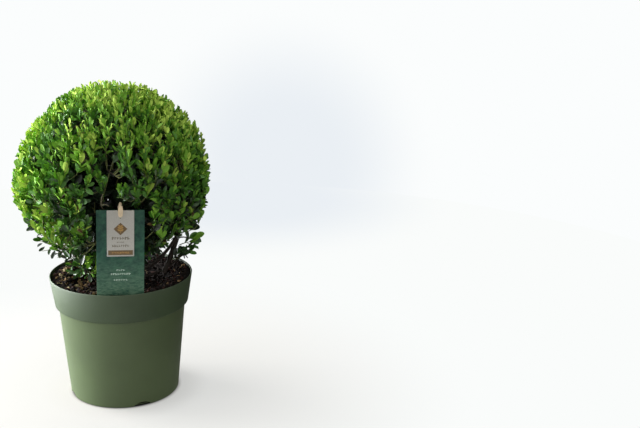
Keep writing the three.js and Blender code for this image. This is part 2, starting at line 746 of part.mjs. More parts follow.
function fuseMass(plan, core) {
  const stemRadiusAt = taper(plan.bough.radiusAt(1), TWIG_RADIUS);
  const pieces = [toSolid(limbGeometry(plan.stem, stemRadiusAt, BOUGH_SIDES, MASS_STEM_STEPS))];
  if (core) pieces.push(core);
  for (const twig of plan.twigs) {
    pieces.push(toSolid(limbGeometry(twig.path, taper(TWIG_RADIUS, SHOOT_RADIUS), TWIG_SIDES, TWIG_STEPS)));
  }
  for (const shoot of plan.shoots) {
    const radiusAt = taper(SHOOT_RADIUS, SHOOT_TIP_RADIUS);
    pieces.push(toSolid(limbGeometry(shoot.path, radiusAt, TWIG_SIDES, 1, shoot.roll)));
  }
  for (const leaf of plan.leaves) pieces.push(toSolid(leafGeometry(leaf)));
  return toGeometry(largestShell(wasm.Manifold.union(pieces)));
}

function growLeaves(shoots, count, fits, random) {
  const leaves = [];
  for (const shoot of shoots) {
    for (let order = 0; order < count; order += 1) {
      const leaf = leafOnShoot(shoot, order, count, fits, leaves, random);
      if (leaf) leaves.push(leaf);
    }
  }
  return leaves;
}

// A lumpy ball about the crown's centre
function lumpyBall(share) {
  const ball = closedMesh(new THREE.IcosahedronGeometry(1, CORE_DETAIL));
  const random = seededRandom(CORE_SEED);
  const position = ball.attributes.position;
  const direction = new THREE.Vector3();
  for (let at = 0; at < position.count; at += 1) {
    direction.fromBufferAttribute(position, at).normalize();
    const uneven = 1 + CORE_LUMP * (2 * random() - 1);
    const point = crownPoint(direction, share * uneven);
    position.setXYZ(at, point.x, point.y, point.z);
  }
  return toSolid(ball);
}

// The open throat under the crown, where the boughs come up
function throatSolid() {
  const depth = CROWN_HALF_HEIGHT + SOIL_CLEARANCE;
  const width = depth * Math.tan(radians(CROWN_THROAT_ANGLE));
  const cone = new THREE.ConeGeometry(width, depth, THROAT_SIDES);
  cone.rotateX(Math.PI / 2);
  cone.translate(CROWN_CENTRE.x, CROWN_CENTRE.y, CROWN_CENTRE.z - depth / 2);
  return toSolid(cone);
}

function labelSpace() {
  const height = LABEL_HEIGHT + LABEL_SPACE_TOP;
  const depth = LABEL_SPACE_FRONT + LABEL_SPACE_BACK;
  const space = new THREE.BoxGeometry(LABEL_WIDTH + 2 * LABEL_SPACE_SIDE, depth, height);
  space.translate(0, LABEL_SPACE_BACK - depth / 2, height / 2);
  return toSolid(space.applyMatrix4(labelMatrix()));
}

function coreOf(home, shape) {
  let core = lumpyBall(shape.core).subtract(lumpyBall(shape.hollow));
  for (const face of crownCells[home]) {
    core = core.trimByPlane(face.toArray(), face.dot(CROWN_CENTRE) + CELL_MARGIN);
  }
  return largestShell(core.subtract(throatSolid()).subtract(labelSpace()));
}

const twigDirections = spreadDirections(TWIG_COUNT, TWIG_SCATTER, seededRandom(TWIG_SEED));
const shootDirections = spreadDirections(SHOOT_COUNT, SHOOT_SCATTER, seededRandom(SHOOT_SEED));

function inCrown(direction) {
  return direction.angleTo(UP) < Math.PI - radians(CROWN_LEAF_ANGLE);
}

function clearOfPieces(point, room) {
  return clearOfLabel(point) && clearOfPot(point) && clearOfLimbs(point, room);
}

function growMass(bough, stem, twigTips, shootTips, leafCount, fits, random) {
  const twigs = growTwigs(stem, twigTips, fits, random);
  const shoots = growShoots(twigs, shootTips, fits, random);
  const leaves = growLeaves(shoots, leafCount, fits, random);
  return { bough, stem, twigs, shoots, leaves };
}

function crownMass(home, bough, shape) {
  const own = (direction) => homeOf(direction) === home && inCrown(direction);
  const stem = massStem(bough, crownPoint(crownDirections[home], shape.stem));
  const inCrownOf = (point, room) => insideCell(home, point, room) && insideSurface(point);
  const isClear = (point, room) => clearOfSprigs(point) && clearOfPieces(point, room);
  const fits = (point, room = 0) => inCrownOf(point, room) && isClear(point, room);
  const twigTips = twigDirections.filter(own).map((direction) => crownPoint(direction, shape.anchor));
  const shootTips = shootDirections.filter(own).map((direction) => crownPoint(direction, shape.shoot));
  const random = seededRandom(MASS_SEED + home);
  const plan = growMass(bough, stem, twigTips, shootTips, shape.leaves, fits, random);
  return fuseMass(plan, coreOf(home, shape));
}

function sprigMass(sprig, order, bough) {
  const centre = sprigCentre(sprig);
  const stem = massStem(bough, centre);
  const fits = (point) => point.distanceTo(centre) < sprig.radius && clearOfPieces(point, 0);
  const random = seededRandom(MASS_SEED + order);
  const shoots = spreadDirections(SPRIG_SHOOTS, SHOOT_SCATTER, random).map((direction) => {
    const tip = centre.clone().addScaledVector(direction, sprig.radius * SPRIG_SHAPE.shoot);
    return { foot: centre, tip, path: new THREE.LineCurve3(centre, tip), roll: 2 * Math.PI * random() };
  });
  const leaves = growLeaves(shoots, SPRIG_SHAPE.leaves, fits, random);
  return fuseMass({ bough, stem, twigs: [], shoots, leaves }, null);
}

// The whole object

function addMesh(group, name, geometry, material) {
  const mesh = new THREE.Mesh(geometry, material);
  mesh.name = name;
  group.add(mesh);
}

function plantPlan() {
  const plan = [{ name: 'top', bough: topBough(), home: 0, shape: UPPER_SHAPE }];
  for (let index = 1; index <= RING_COUNT; index += 1) {
    const azimuth = CROWN_FRONT_SEAM + RING_STEP * (index - 0.5);
    plan.push({ name: `upper_${index}`, bough: upperBough(azimuth), home: index, shape: UPPER_SHAPE });
  }
  for (let index = 1; index <= RING_COUNT; index += 1) {
    const bough = lowerBough(CROWN_FRONT_SEAM + RING_STEP * (index - 1), LOWER_REACHES[index - 1]);
    plan.push({ name: `lower_${index}`, bough, home: RING_COUNT + index, shape: LOWER_SHAPE });
  }
  for (const sprig of SPRIGS) plan.push({ name: `sprig_${sprig.name}`, bough: sprigBough(sprig), sprig });
  return plan;
}

function makePlant() {
  const plant = new THREE.Group();
  const plan = plantPlan();
  addMesh(plant, 'main_stem', toGeometry(stemSolid(0)), materials.bark);
  rememberLimb(stemCurve, stemRadius);
  boughSolids(plan.map((entry) => entry.bough)).forEach((solid, order) => {
    addMesh(plant, `bough_${plan[order].name}`, toGeometry(solid), materials.bark);
    rememberLimb(plan[order].bough.curve, plan[order].bough.radiusAt);
  });
  plan.forEach((entry, order) => {
    const { name, bough, home, shape, sprig } = entry;
    const mass = sprig ? sprigMass(sprig, order, bough) : crownMass(home, bough, shape);
    addMesh(plant, `foliage_${name}`, mass, shape === UPPER_SHAPE ? materials.leaf : materials.lowLeaf);
  });
  return plant;
}

function makeLabel() {
  const label = new THREE.Group();
  addMesh(label, 'label_card', cardGeometry(), materials.card);
  addMesh(label, 'label_panel', panelGeometry(), materials.panel);
  for (const [name, facing] of [['peg_leg_back', 1], ['peg_leg_front', -1]]) {
    const leg = pegLegGeometry(facing);
    leg.translate(0, pegFace(facing), 0);
    addMesh(label, name, leg, materials.pegWood);
  }
  addMesh(label, 'peg_spring', springGeometry(), materials.wire);
  label.applyMatrix4(labelMatrix());
  return label;
}

const pottedHolly = new THREE.Group();
addMesh(pottedHolly, 'pot', makePot(), materials.pot);
addMesh(pottedHolly, 'potting_soil', makeSoil(), materials.soil);
const aboveSoil = new THREE.Group();
aboveSoil.position.z = SOIL_TOP;
aboveSoil.add(makePlant(), makeLabel());
pottedHolly.add(aboveSoil);

export default pottedHolly;
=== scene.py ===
# Potted Japanese holly clipped to a ball: bark, twigs, leaves, pot, soil and label, made round the frame

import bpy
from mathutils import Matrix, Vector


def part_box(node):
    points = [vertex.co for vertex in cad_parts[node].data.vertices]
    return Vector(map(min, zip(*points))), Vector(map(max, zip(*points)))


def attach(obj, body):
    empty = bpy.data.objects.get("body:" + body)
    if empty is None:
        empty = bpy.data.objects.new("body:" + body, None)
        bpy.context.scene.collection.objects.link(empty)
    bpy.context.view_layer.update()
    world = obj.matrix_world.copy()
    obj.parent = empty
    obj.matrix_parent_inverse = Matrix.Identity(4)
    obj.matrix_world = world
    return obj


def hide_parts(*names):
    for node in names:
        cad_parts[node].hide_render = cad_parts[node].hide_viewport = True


bl_info = {
    "name": "Potted Japanese Holly",
    "version": (1, 0, 0),
    "blender": (4, 5, 0),
    "location": "3D View > Sidebar > Holly",
    "description": "A clipped holly ball in a round pot, with its leaves, bark, soil and label",
    "category": "Object",
}

import functools
import math

import bmesh
import bpy
import numpy as np
from bpy.props import FloatProperty, FloatVectorProperty, IntProperty, PointerProperty
from mathutils import Matrix, Vector, noise

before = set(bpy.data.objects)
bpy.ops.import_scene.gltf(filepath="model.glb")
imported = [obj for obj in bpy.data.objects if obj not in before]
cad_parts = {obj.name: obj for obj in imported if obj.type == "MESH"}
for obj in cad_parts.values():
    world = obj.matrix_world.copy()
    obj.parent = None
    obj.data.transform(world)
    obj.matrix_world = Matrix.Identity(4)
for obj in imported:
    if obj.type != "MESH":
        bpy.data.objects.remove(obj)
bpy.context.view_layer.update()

MM = 0.001
UP = np.array([0.0, 0.0, 1.0])
GOLDEN_ANGLE = math.pi * (3 - math.sqrt(5))


def table(fields, *rows):
    """Rows of values as dictionaries with these fields."""
    return tuple(dict(zip(fields.split(), row)) for row in rows)


def tables_by_mass(fields, **rows):
    """A table for each of these masses of the plant."""
    return {mass: table(fields, *own) for mass, own in rows.items()}


# Pot: its outside comes from the frame, and its band and shoulder are the source's
POT_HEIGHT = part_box("pot")[1].z
POT_RIM_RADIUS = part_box("pot")[1].x
POT_BAND_HEIGHT = 41 * MM
POT_BAND_FOOT_RADIUS = 89.2 * MM
POT_SHOULDER_RADIUS = 84.6 * MM
POT_SHOULDER_DROP = 0.9 * MM
POT_FOOT_RADIUS = 73.5 * MM
POT_FOOT_ROUND = 3 * MM
POT_WALL = 1.8 * MM
POT_LIP = 0.9 * MM
POT_STEPS = 160
POT_ARC_STEPS = 5
POT_SHOULDER_CORNER = ((-0.1 * MM, 1.2 * MM), (0.25 * MM, 0.2 * MM))
POT_BAND_EDGE = 2.4 * MM
POT_BAND_ARC = (-80, -8)
POT_SHARP_ANGLE = 40
NOTCH_AZIMUTHS = (-73, 17, 107, 197)
NOTCH_WIDTH = 24 * MM
NOTCH_HEIGHT = 6.5 * MM
NOTCH_DEPTH = 9 * MM
NOTCH_SIDES = 32

# Soil
SOIL_TOP = 150 * MM
SOIL_LEVEL_RADIUS = 20 * MM
SOIL_WALL_GAP = 0.5 * MM
SOIL_RINGS = 44
SOIL_STEPS = 120
SOIL_SWELL = 3 * MM
SOIL_SWELL_SIZE = 34 * MM
SOIL_CRUMB = 1.4 * MM
SOIL_CRUMB_SIZE = 7 * MM
SOIL_LEVEL_CRUMB = 0.4
SOIL_BANK = 14 * MM
SOIL_BANK_START = 52 * MM
SOIL_BANK_END = 84 * MM

# Chips and straws on the soil: sizes in millimetres, angles in degrees, and the shares of dark, red and
# tan chips added up
CHIP_SEED = 31
CHIP_FORMS = 4
CHIP_LIE = 28
CHIP_SIZES = (1.6, 5)
CHIP_SIZE_POWER = 3
CHIP_RISE = 0.1
CHIP_WALL_GAP = 3 * MM
CHIP_STEM_GAP = 18 * MM
CHIP_CARD_GAPS = (4 * MM, 6 * MM)
CHIP_COLOURS = (("dark", "#1B120D"), ("red", "#39201A"), ("tan", "#8F7450"), ("pale", "#BDAB84"))
# Chips left of and behind this corner are more often pale and tan, and the others more often dark
PALE_CHIP_CORNER = (-44 * MM, -54 * MM)
PALE_CORNER_SHARES = (0.44, 0.64, 0.91)
OTHER_CHIP_SHARES = (0.72, 0.98, 0.995)
STRAW_SEED = 37
STRAW_LENGTHS = (5, 11)
STRAW_RISES = (8, 9)
STRAW_LIFTS = (0.7, 1.5)
STRAW_RADII = (0.5, 0.28)
STRAW_STEPS = 4

# Main stem, in the source's sizes
GAP = 0.3 * MM
STEM_FOOT = (3, 4, 0.3)
STEM_BEND = (-1, 5, 26)
STEM_FORK = (-2, 0, 52)
STEM_FORK_RADIUS = 6.2 * MM
STEM_BODY_RADIUS = 8 * MM
STEM_FLARE = 6 * MM
STEM_FLARE_FADE = 7
STEM_ROOT_LOBES = 3
STEM_LOBE_DEPTH = 0.35

# Crown, in the source's sizes
CROWN_RADIUS = 126 * MM
CROWN_HALF_HEIGHT = 129 * MM
CROWN_FRONT_SEAM = -97
CROWN_LEAF_ANGLE = 28
CROWN_LUMPS = table(
    "azimuth latitude height spread",
    (0, 33, 6, 10), (180, -7, 5, 11), (0, -10, -10, 5), (180, 50, -4, 18), (CROWN_FRONT_SEAM, 8, -16, 7),
)
RAGGED_TOP_LATITUDE = -18
RAGGED_FULL_LATITUDE = -50
RAGGED_DEPTH = 0.16
RAGGED_WAVES = table("share lobes twist", (0.3, 7, 0), (0.2, 13, 8))

# Boughs, in the source's sizes
RING_COUNT = 5
RING_STEP = 360 / RING_COUNT
TOP_BOUGH = {"foot_radius": 5.2, "tip_radius": 2.6, "tip_reach": 0.36, "bend": 60}
UPPER_BOUGH = {"foot": 27, "foot_radius": 3.8, "tip_radius": 2.3, "tip_reach": 0.36, "tip_latitude": 8}
UPPER_BEND = {"out": 27, "up": 46}
LOWER_BOUGH = {"foot": 15, "foot_radius": 3.6, "tip_radius": 2, "tip_height": 70}
LOWER_REACHES = (42, 78, 56, 66, 54)
LOWER_BEND_SHARE = 0.62
LOWER_BEND_RISE = 6
SPRIG_BOUGH = {"foot": 6, "foot_radius": 2.6, "tip_radius": 1.5, "rise": 3}
UPPER_SHAPE = {"stem": 0.62, "anchor": 0.78, "shoot": 0.91}
LOWER_SHAPE = {"stem": 0.67, "anchor": 0.7, "shoot": 0.88}
UPPER_LATITUDE = 20
LOWER_LATITUDE = -32
CELL_MARGIN = 0.35 * MM
SPRIGS = table(
    "name azimuth tip centre radius",
    ("right", -10, (62, 24), (84, 46), 33),
    ("front_left", -142, (38, 20), (58, 36), 31),
    ("back_left", 156, (50, 22), (70, 40), 31),
    ("back_right", 52, (44, 21), (66, 38), 31),
)
SPRIG_SHOOTS = 4
SPRIG_SHOOT_REACH = 0.45
TWIG_COUNT = 44
SHOOT_COUNT = 104
TWIG_SCATTER = 0.16
SHOOT_SCATTER = 0.1
TWIG_CLEARANCE = 2.4 * MM
PATH_SHARES = np.array([0.25, 0.5, 0.75, 1])
TWIG_FOOT_SHARE = 0.75
TWIG_BOW = 0.15
TWIG_SEED = 101
SHOOT_SEED = 202
MASS_SEED = 1000
LIMB_CLEARANCE = 1 * MM
LIMB_SAMPLES = 24
SOIL_CLEARANCE = 5 * MM
RIM_CLEARANCE = 4 * MM

# Finer growth than the source's: sprays on the shoots, in layers from the surface inwards and one under the
# crown. Reach and spread are shares of the crown's reach, and lengths are in millimetres
# The shade column is painted shade: darker tones for the deeper layers and for the one under the crown
LAYERS = table(
    "count reach spread length lean shade size below",
    (1700, 0.955, 0.06, 26, 0.78, 0, 1.0, 90),
    (600, 0.85, 0.06, 24, 0.66, 2, 1.1, 90),
    (260, 0.72, 0.08, 22, 0.3, 4, 1.2, 90),
    (300, 0.56, 0.1, 22, 0.2, 4, 1.3, 90),
    (520, 0.9, 0.16, 20, 2, 2, 0.85, -36),
)
OUTER_LAYERS = 2
SPRAY_SEED = 303
SPRAY_SCATTER = 0.07
SPRAY_SAMPLES = 6
SPRAY_SAMPLE_START = 0.3
HEADING_SCATTER = 0.16
LOW_LEAN_LOSS = 0.8
SPRIG_SPRAYS = 14
SPRIG_SPRAY_REACH = 0.72
SPRIG_SPRAY_LENGTH = 20
SPRIG_LOWEST = -0.35
SPRIG_LEAN = 0.3
SPRIG_TONE = 2
SPRIG_TONE_SPREAD = 0.6
SPRIG_LEAF_SIZE = 0.7

# Tones of the sprays by the way they face, in steps from the youngest, 0, to the darkest: partly age and
# partly painted light and shade
DARKEST_TONE = 4
BRONZE_TONE = 5
PATCH_SCALE = 3.1
FRONT_SIDE = (-0.55, -0.15)
LEFT_SIDE = (0.1, 0.6)
LEFT_HALF = ((0.2, 0.5), (0.6, 0.9))
SUNNY_SIDE = (0.5, 0.95)
RIGHT_SIDE = (0.2, 0.7)
LOWER_HALF = (-0.15, 0.2)
# Of these terms, the sunny side, the low left and the right are lightened in painted light, the right foot
# and a band on the left half are darkened in painted shade, and the top is lighter partly by age and partly
# in painted light
TONE_AND_PAINTED_LIGHT = {
    "middle": 1.55, "top": -1.65, "right": -0.4, "sunny": -1.15, "foot": 0.15, "painted_shade_right_foot": 0.7,
    "painted_light_low_left": -1.6, "painted_shade_left_half": 0.45, "patches": 1.2, "luck": 0.55, "low_luck": 1.1, "low_left_light": 0.6,
}

# Growth that stands where the photograph shows it, in millimetres from the middle of the soil's top.
# BARK, YOUNG and DEAD are the numbers of the twigs' materials
BARK = 0
YOUNG = 1
DEAD = 2
HAND_PLACED_SPRIG = "sprig_right"
# Their tones are on the sprays' scale, whose darker steps are painted shade
PLACED_SPRAYS = tables_by_mass(
    "tone size leaves path",
    lower_1=(
        (1.4, 1.05, 7, ((20, -56, 112), (22, -74, 122), (24, -88, 134))),
        (0.4, 0.4, 6, ((-20, -80, 132), (-19, -85, 140), (-17, -88, 150))),
    ),
    lower_5=(
        (3.9, 0.75, 9, ((-62, -12, 66), (-78, -15, 58), (-101, -15, 56))),
        (3.9, 0.7, 8, ((-62, -12, 60), (-72, -15, 54), (-91, -15, 49))),
        (3.6, 0.7, 8, ((-56, -12, 58), (-66, -15, 50), (-82, -15, 46))),
        (2.6, 0.75, 9, ((-70, -12, 72), (-88, -10, 66), (-108, -8, 68))),
    ),
    sprig_right=(
        (1.8, 1.1, 5, ((78, -14, 56), (86, -14, 60), (96, -15, 60))),
        (2.6, 1.05, 6, ((76, -14, 40), (84, -16, 46), (92, -16, 50))),
        (3, 1.1, 7, ((72, -13, 36), (78, -18, 40), (84, -20, 50))),
        (3.4, 1.0, 6, ((66, -12, 34), (72, -20, 40), (76, -24, 50))),
        (1.6, 0.9, 5, ((78, -14, 50), (88, -10, 52), (98, -8, 54))),
    ),
)
PLACED_LEAVES = tables_by_mass(
    "root tip tone",
    sprig_right=(
        ((83, -15, 83), (105, -16, 79), 4),
        ((93, -15, 64), (112, -16, 71), 1),
        ((92, -15, 62), (104, -16, 58), 2.6),
        ((90, -15, 66), (88, -16, 78), 3.4),
        ((91, -15, 64), (101, -18, 74), 2.2),
    ),
    lower_5=(
        ((-97, -15, 62), (-104, -18, 56), 4),
        ((-90, -14, 60), (-92, -17, 51), 3.4),
        ((-84, -16, 57), (-88, -20, 46), 4),
        ((-78, -12, 56), (-79, -15, 45), 3),
        ((-101, -15, 71), (-112, -20, 73), 2.4),
        ((-100, -12, 66), (-107, -12, 61), 3.6),
        ((-92, -10, 64), (-99, -8, 68), 3.2),
        ((-80, -18, 62), (-86, -24, 66), 2.6),
        ((-74, -16, 56), (-66, -22, 48), 2.6),
        ((-108, -20, 92), (-118, -22, 86), 3.8),
    ),
)
PLACED_LIMBS = tables_by_mass(
    "path radii material",
    sprig_right=(
        (((56, -13, 18), (70, -15, 48), (80, -15, 84)), (3.8, 3.1), BARK),
        (((74, -15, 64), (80, -15, 70), (92, -15, 65)), (1.2, 0.7), BARK),
    ),
    lower_1=(
        (((-20, -72, 126), (-24, -90, 138), (-18, -92, 152)), (0.9, 0.5), DEAD),
        (((-21, -86, 134), (-16, -92, 138), (-12, -92, 134)), (0.7, 0.4), DEAD),
    ),
    sprig_front_left=(
        (((-36, -20, 86), (-42, -20, 64), (-40, -20, 34)), (1.1, 0.8), YOUNG),
        (((-46, -20, 80), (-52, -20, 64), (-52, -20, 42)), (0.9, 0.6), YOUNG),
    ),
)
PLACED_FACE = (-0.3, -0.8, 0.5)

# How dense the sprays stand, how large their leaves are, and where the crown is open. Angles in degrees
THROAT_ANGLE = 13
MIDDLE_DENSITY = 0.5
TOP_LATITUDES = (5, 48)
TOP_DENSITY = 0.5
LOW_LATITUDES = (-20, -55)
LOW_DENSITY = -0.18
TOP_LEAF_SIZE = 0.73
MIDDLE_LEAF_SIZE = 0.95
LOW_LEAF_SHARE = 0.84
OPENINGS = table(
    "azimuth latitude spread depth layers",
    (-92, 33, 5, 0.8, 2), (-92, 22, 6, 1.0, 3), (-92, 10, 6, 0.8, 2), (-93, -3, 5, 0.7, 2),
    (-14, -40, 12, 1.2, 4), (-150, -38, 12, 1.0, 5), (-172, -35, 8, 0.9, 5), (-137, -38, 8, 0.85, 5),
    (-162, -39, 9, 0.85, 5), (168, -41, 11, 0.85, 5), (-38, -26, 7, 0.7, 5), (150, -40, 16, 0.8, 4),
)

# The dark cleft down the front, in degrees, with the share of the crown's reach that stays filled
CLEFT = {
    "azimuth": -92, "half_width": 3.1, "foot_latitude": -1, "top_latitude": 31, "taper": 12, "inner": 0.68,
}

# Bark and twigs, with the twigs' radii in millimetres
BARK_SIDES = 16
BARK_RINGS = 36
BARK_RELIEF = 0.45 * MM
BARK_RIDGE_SIZE = 5 * MM
BARK_RIDGE_STRETCH = 0.35
BOUGH_RELIEF_SHARE = 0.6
TWIG_RADII = (1.7, 1.1)
SHOOT_RADII = (1.1, 0.75)
SPRAY_RADII = (0.75, 0.35)
LIMB_STEPS = {"stem": 6, "twig": 5, "shoot": 2, "spray": 4, "placed": 8}

# Leaves
LEAF_ROWS = (0, 0.1, 0.3, 0.54, 0.77, 0.93, 1)
LEAF_WIDTHS = (0.08, 0.26, 0.76, 1, 0.9, 0.56, 0.16)
LEAF_FORMS = ({"fold": 0.3, "curl": 0.12}, {"fold": 0.42, "curl": -0.12}, {"fold": 0.2, "curl": 0.24})
LEAVES_ON_SPRAY = 9
LEAF_SPACING = 2.9 * MM
LEAF_TIP_TILT = 16
LEAF_FOOT_TILT = 54
LEAF_TILT_SPREAD = 12
LEAF_TWIST = 34
LEAF_LIGHT_PULL = 0.22
LEAF_LENGTH_SPREAD = 0.5
LEAF_PROUD = 1.6 * MM
LEAF_CUTS = (1, 0.82, 0.66)
LEAF_FIT_SHARES = (0.5, 1)
LEAF_LOWEST_SHARE = 0.03
LEAF_SIDEWAYS = (0.31, 0.87, 0.39)
LEAF_TILT_POWER = 0.8
TIP_LEAF_SHARE = 0.66
TIP_LEAF_GROWTH = 3
# Leaves darken down each spray, partly by age and partly as painted shade deeper in the crown
LEAF_AGEING_AND_SHADE = 1.3
LEAF_AGEING_START = 0.22
LEAF_TONE_LUCK = 0.45
ANYWHERE = 1

# Kinds of leaf from the youngest, with the roughness of the waxy skin and how much it reflects. The darker
# kinds stand partly for age and partly for painted shade, and the shaded kind is painted shade
LEAF_KINDS = (
    ("new", 0.6, 0.14), ("fresh", 0.5, 0.28), ("grown", 0.4, 0.55), ("old", 0.32, 0.95),
    ("shaded", 0.34, 1), ("bronze", 0.45, 0.4),
)
BRONZE_SHARE = 0.02

# Label, in its own frame: its origin is the middle of the card's foot, and -Y is its front
LABEL_FOOT = (-2.9, -81.4, -12)
LABEL_WIDTH = 59 * MM
LABEL_HEIGHT = 144.5 * MM
LABEL_THICKNESS = 1 * MM
LABEL_LEAN = 7.5
LABEL_ROLL = 1.8
LABEL_SPACE = {"side": 3 * MM, "top": 11 * MM, "back": 8 * MM}
PANEL_WIDTH = 33.4 * MM
PANEL_HEIGHT = 62.5 * MM
PANEL_THICKNESS = 0.8 * MM
INK_THICKNESS = 0.08 * MM
PEG_LENGTH = 18 * MM
PEG_OVERLAP = 8.6 * MM
PEG_WIDTH = 6 * MM
PEG_LEG_THICKNESS = 2.4 * MM
PEG_OUTLINE = {"places": (-0.5, -0.3, -0.05, 0.2, 0.36, 0.5), "widths": (0.8, 0.92, 1, 0.96, 0.74, 0.5)}
SPRING_HEIGHT = 3.2 * MM
SPRING_TURNS = 4
SPRING_WIRE = 0.35 * MM
SPRING_STEPS = 16
CARD_CORNER = 0.8 * MM
PANEL_CORNER = 0.5 * MM

# Print on the label: rows of strokes in millimetres over the panel's or the card's foot
MARK_HEIGHT = 119.6 * MM
MARK_HALF = 6 * MM
MARK_STALK = (0.6 * MM, 9.5 * MM)
MARK_STALK_DROP = 0.6 * MM
MARK_LEAVES = ((-3, 4.6), (0.2, 4.4), (3, 3.6))
MARK_LEAF_AZIMUTHS = (38, 142)
BAND_RISE = 5.2
BAND_SIZE = (PANEL_WIDTH - 3 * MM, 6.6 * MM)
BAND_ROWS = table("height width tall marks", (BAND_RISE, 22, 2.4, 11))
PANEL_ROWS = table("height width tall marks", (25, 22, 4.6, 7), (19.6, 9, 1.8, 5), (14.6, 21, 4, 8))
CARD_ROWS = table("height width tall marks", (62.4, 11, 2.2, 4), (57, 25, 2.8, 9), (48.7, 18, 2.6, 6))
PANEL_HOLE = (1.2 * MM, 1.2 * MM)
PANEL_HOLE_DROP = 1.8 * MM

# Camera, found from the rim and foot of the pot in the photograph
CAMERA_PLACE = (0, -1.3126, 0.610)
CAMERA_HEADING = 11.78
CAMERA_PITCH = 15.51
CAMERA_ROLL = 1.01
CAMERA_LENS = 56.25
CAMERA_SENSOR = 36

# Stage: the paper floor lies over a board that gives the bounce, and under a glow of painted light that gives
# its tone and lightens its shadows
FLOOR_RADIUS = 1.2
FLOOR_SIDES = 96
FLOOR_GAP = 0.4 * MM
# Painted shade: where the bounce board turns dark on the right
BOARD_DARK = (0.1, 0.22)
# Painted light: how much of the glow lies over the paper at each distance from the middle
GLOW_STOPS = ((0.07, 0), (0.078, 0.5), (0.12, 0.62), (0.5, 1))
DOME_RADIUS = 6
DOME_SEGMENTS = 48
DOME_RINGS = 24
# Painted cool shade on the backdrop and on the floor behind the plant
DOME_PAINTED_SHADE = {"centre": (1.2, 5.8, -1.0), "start": 0.35, "end": 1.15}
FLOOR_PAINTED_SHADE = {"centre": (0.3, 1.0, 0), "start": 0.15, "end": 0.5}
SURROUND_RIGHT = 0.06
SHADE_TOWARDS = (0.87, 0.5, -0.4)
SHADE_RANGE = (-0.1, 0.7)
LIGHT_TARGET = (0, 0, 0.25)
SOFTBOXES = table(
    "name place size colour",
    ("key", (-1.4, 0.75, 0.6), (1.0, 1.1), (0.97, 0.985, 1)),
    ("side", (-1.4, -0.1, 0.45), (1.0, 0.7), (0.94, 0.97, 1)),
    ("top", (-0.2, 0.1, 1.75), (1.4, 1.4), (1, 1, 1)),
    ("fill", (1.3, -0.7, 0.75), (0.5, 0.7), (1, 1, 0.97)),
)

# The colour sockets of a node that mixes two colours
MIX_FIRST = 6
MIX_SECOND = 7
MIX_RESULT = 2


def linear(code):
    """An sRGB hex colour as linear red, green and blue."""
    channels = [int(code[at:at + 2], 16) / 255 for at in (1, 3, 5)]
    return tuple(c / 12.92 if c <= 0.04045 else ((c + 0.055) / 1.055) ** 2.4 for c in channels)


def colour_property(name, description, code):
    """A property that holds a colour, given as sRGB hex."""
    return FloatVectorProperty(name=name, description=description, subtype="COLOR", default=linear(code))


class HollyPlantSettings(bpy.types.PropertyGroup):
    leaf_length: FloatProperty(
        name="Leaf length", description="Length of a full-grown leaf", default=14.5 * MM, unit="LENGTH")
    leaf_width_share: FloatProperty(
        name="Leaf width", description="Width of a leaf as a share of its length", default=0.45,
        min=0.2, max=1, subtype="FACTOR")
    # The leaf colours from new to shaded are partly the leaves' age and partly painted light and shade; the
    # shaded leaf is painted shade for leaves inside the crown
    new_leaf: colour_property("New leaf", "Youngest leaves at the top", "#B0CE5A")
    fresh_leaf: colour_property("Fresh leaf", "This year's leaves", "#79AB3A")
    grown_leaf: colour_property("Grown leaf", "Full-grown leaves", "#4F822C")
    old_leaf: colour_property("Old leaf", "Last year's leaves", "#3A5C2B")
    shaded_leaf: colour_property("Shaded leaf", "Leaves inside the crown", "#23341E")
    bronze_leaf: colour_property("Bronze leaf", "The few leaves that have turned", "#665233")
    young_stem: colour_property("Young stem", "Green stems of the sprays", "#7A7F4C")
    # The dead twig's pale colour is partly its own and partly a painted highlight, for the light it catches
    dead_twig_with_highlight: colour_property("Dead twig", "Bleached twig beside the label", "#E0D8B4")
    bark: colour_property("Bark", "Grey-brown bark", "#352C24")


class HollyPotSettings(bpy.types.PropertyGroup):
    plastic: colour_property("Pot", "Olive green plastic", "#4F6039")
    # The band's darker colour is painted shade, standing for the crown's shade over the band
    band: colour_property("Band", "Thicker plastic under the rim", "#394B2C")
    soil: colour_property("Soil", "Damp potting soil", "#150E0A")
    chip_count: IntProperty(
        name="Chips", description="How many bark chips lie on the soil", default=2200, min=0)
    straw_count: IntProperty(
        name="Straws", description="How many dry stalks lie on the soil", default=46, min=0)


class HollyLabelSettings(bpy.types.PropertyGroup):
    card: colour_property("Card", "Blue-green printed card", "#386A53")
    panel: colour_property("Panel", "Warm grey paper panel", "#CAC7BF")
    brown_ink: colour_property("Brown ink", "Ink of the mark and the band", "#7F6748")
    gold_ink: colour_property("Gold ink", "Ink inside the mark and the band", "#C49A58")
    peg: colour_property("Peg", "Pale wood of the peg", "#FCE3BE")


class HollyStageSettings(bpy.types.PropertyGroup):
    key_power: FloatProperty(
        name="Key", description="Power of the light behind on the left", default=80, unit="POWER")
    side_power: FloatProperty(
        name="Side", description="Power of the low light on the left", default=22, unit="POWER")
    top_power: FloatProperty(name="Top", description="Power of the light above", default=17, unit="POWER")
    fill_power: FloatProperty(
        name="Fill", description="Power of the light on the right", default=3.2, unit="POWER")
    surround: FloatProperty(name="Surround", description="Strength of the light from all round", default=0.58)


# Objects, meshes and nodes

def new_object(name, mesh, materials):
    """A mesh as an object of the scene, with its materials."""
    made = bpy.data.objects.new(name, mesh)
    bpy.context.scene.collection.objects.link(made)
    for material in materials:
        mesh.materials.append(material)
    return made


def keep_piece(name, mesh, materials, nodes=()):
    """Makes a finished mesh a piece that rides on the part's one body."""
    piece = new_object(name, mesh, materials)
    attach(piece, "root")
    if nodes:
        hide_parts(*nodes)
    return piece


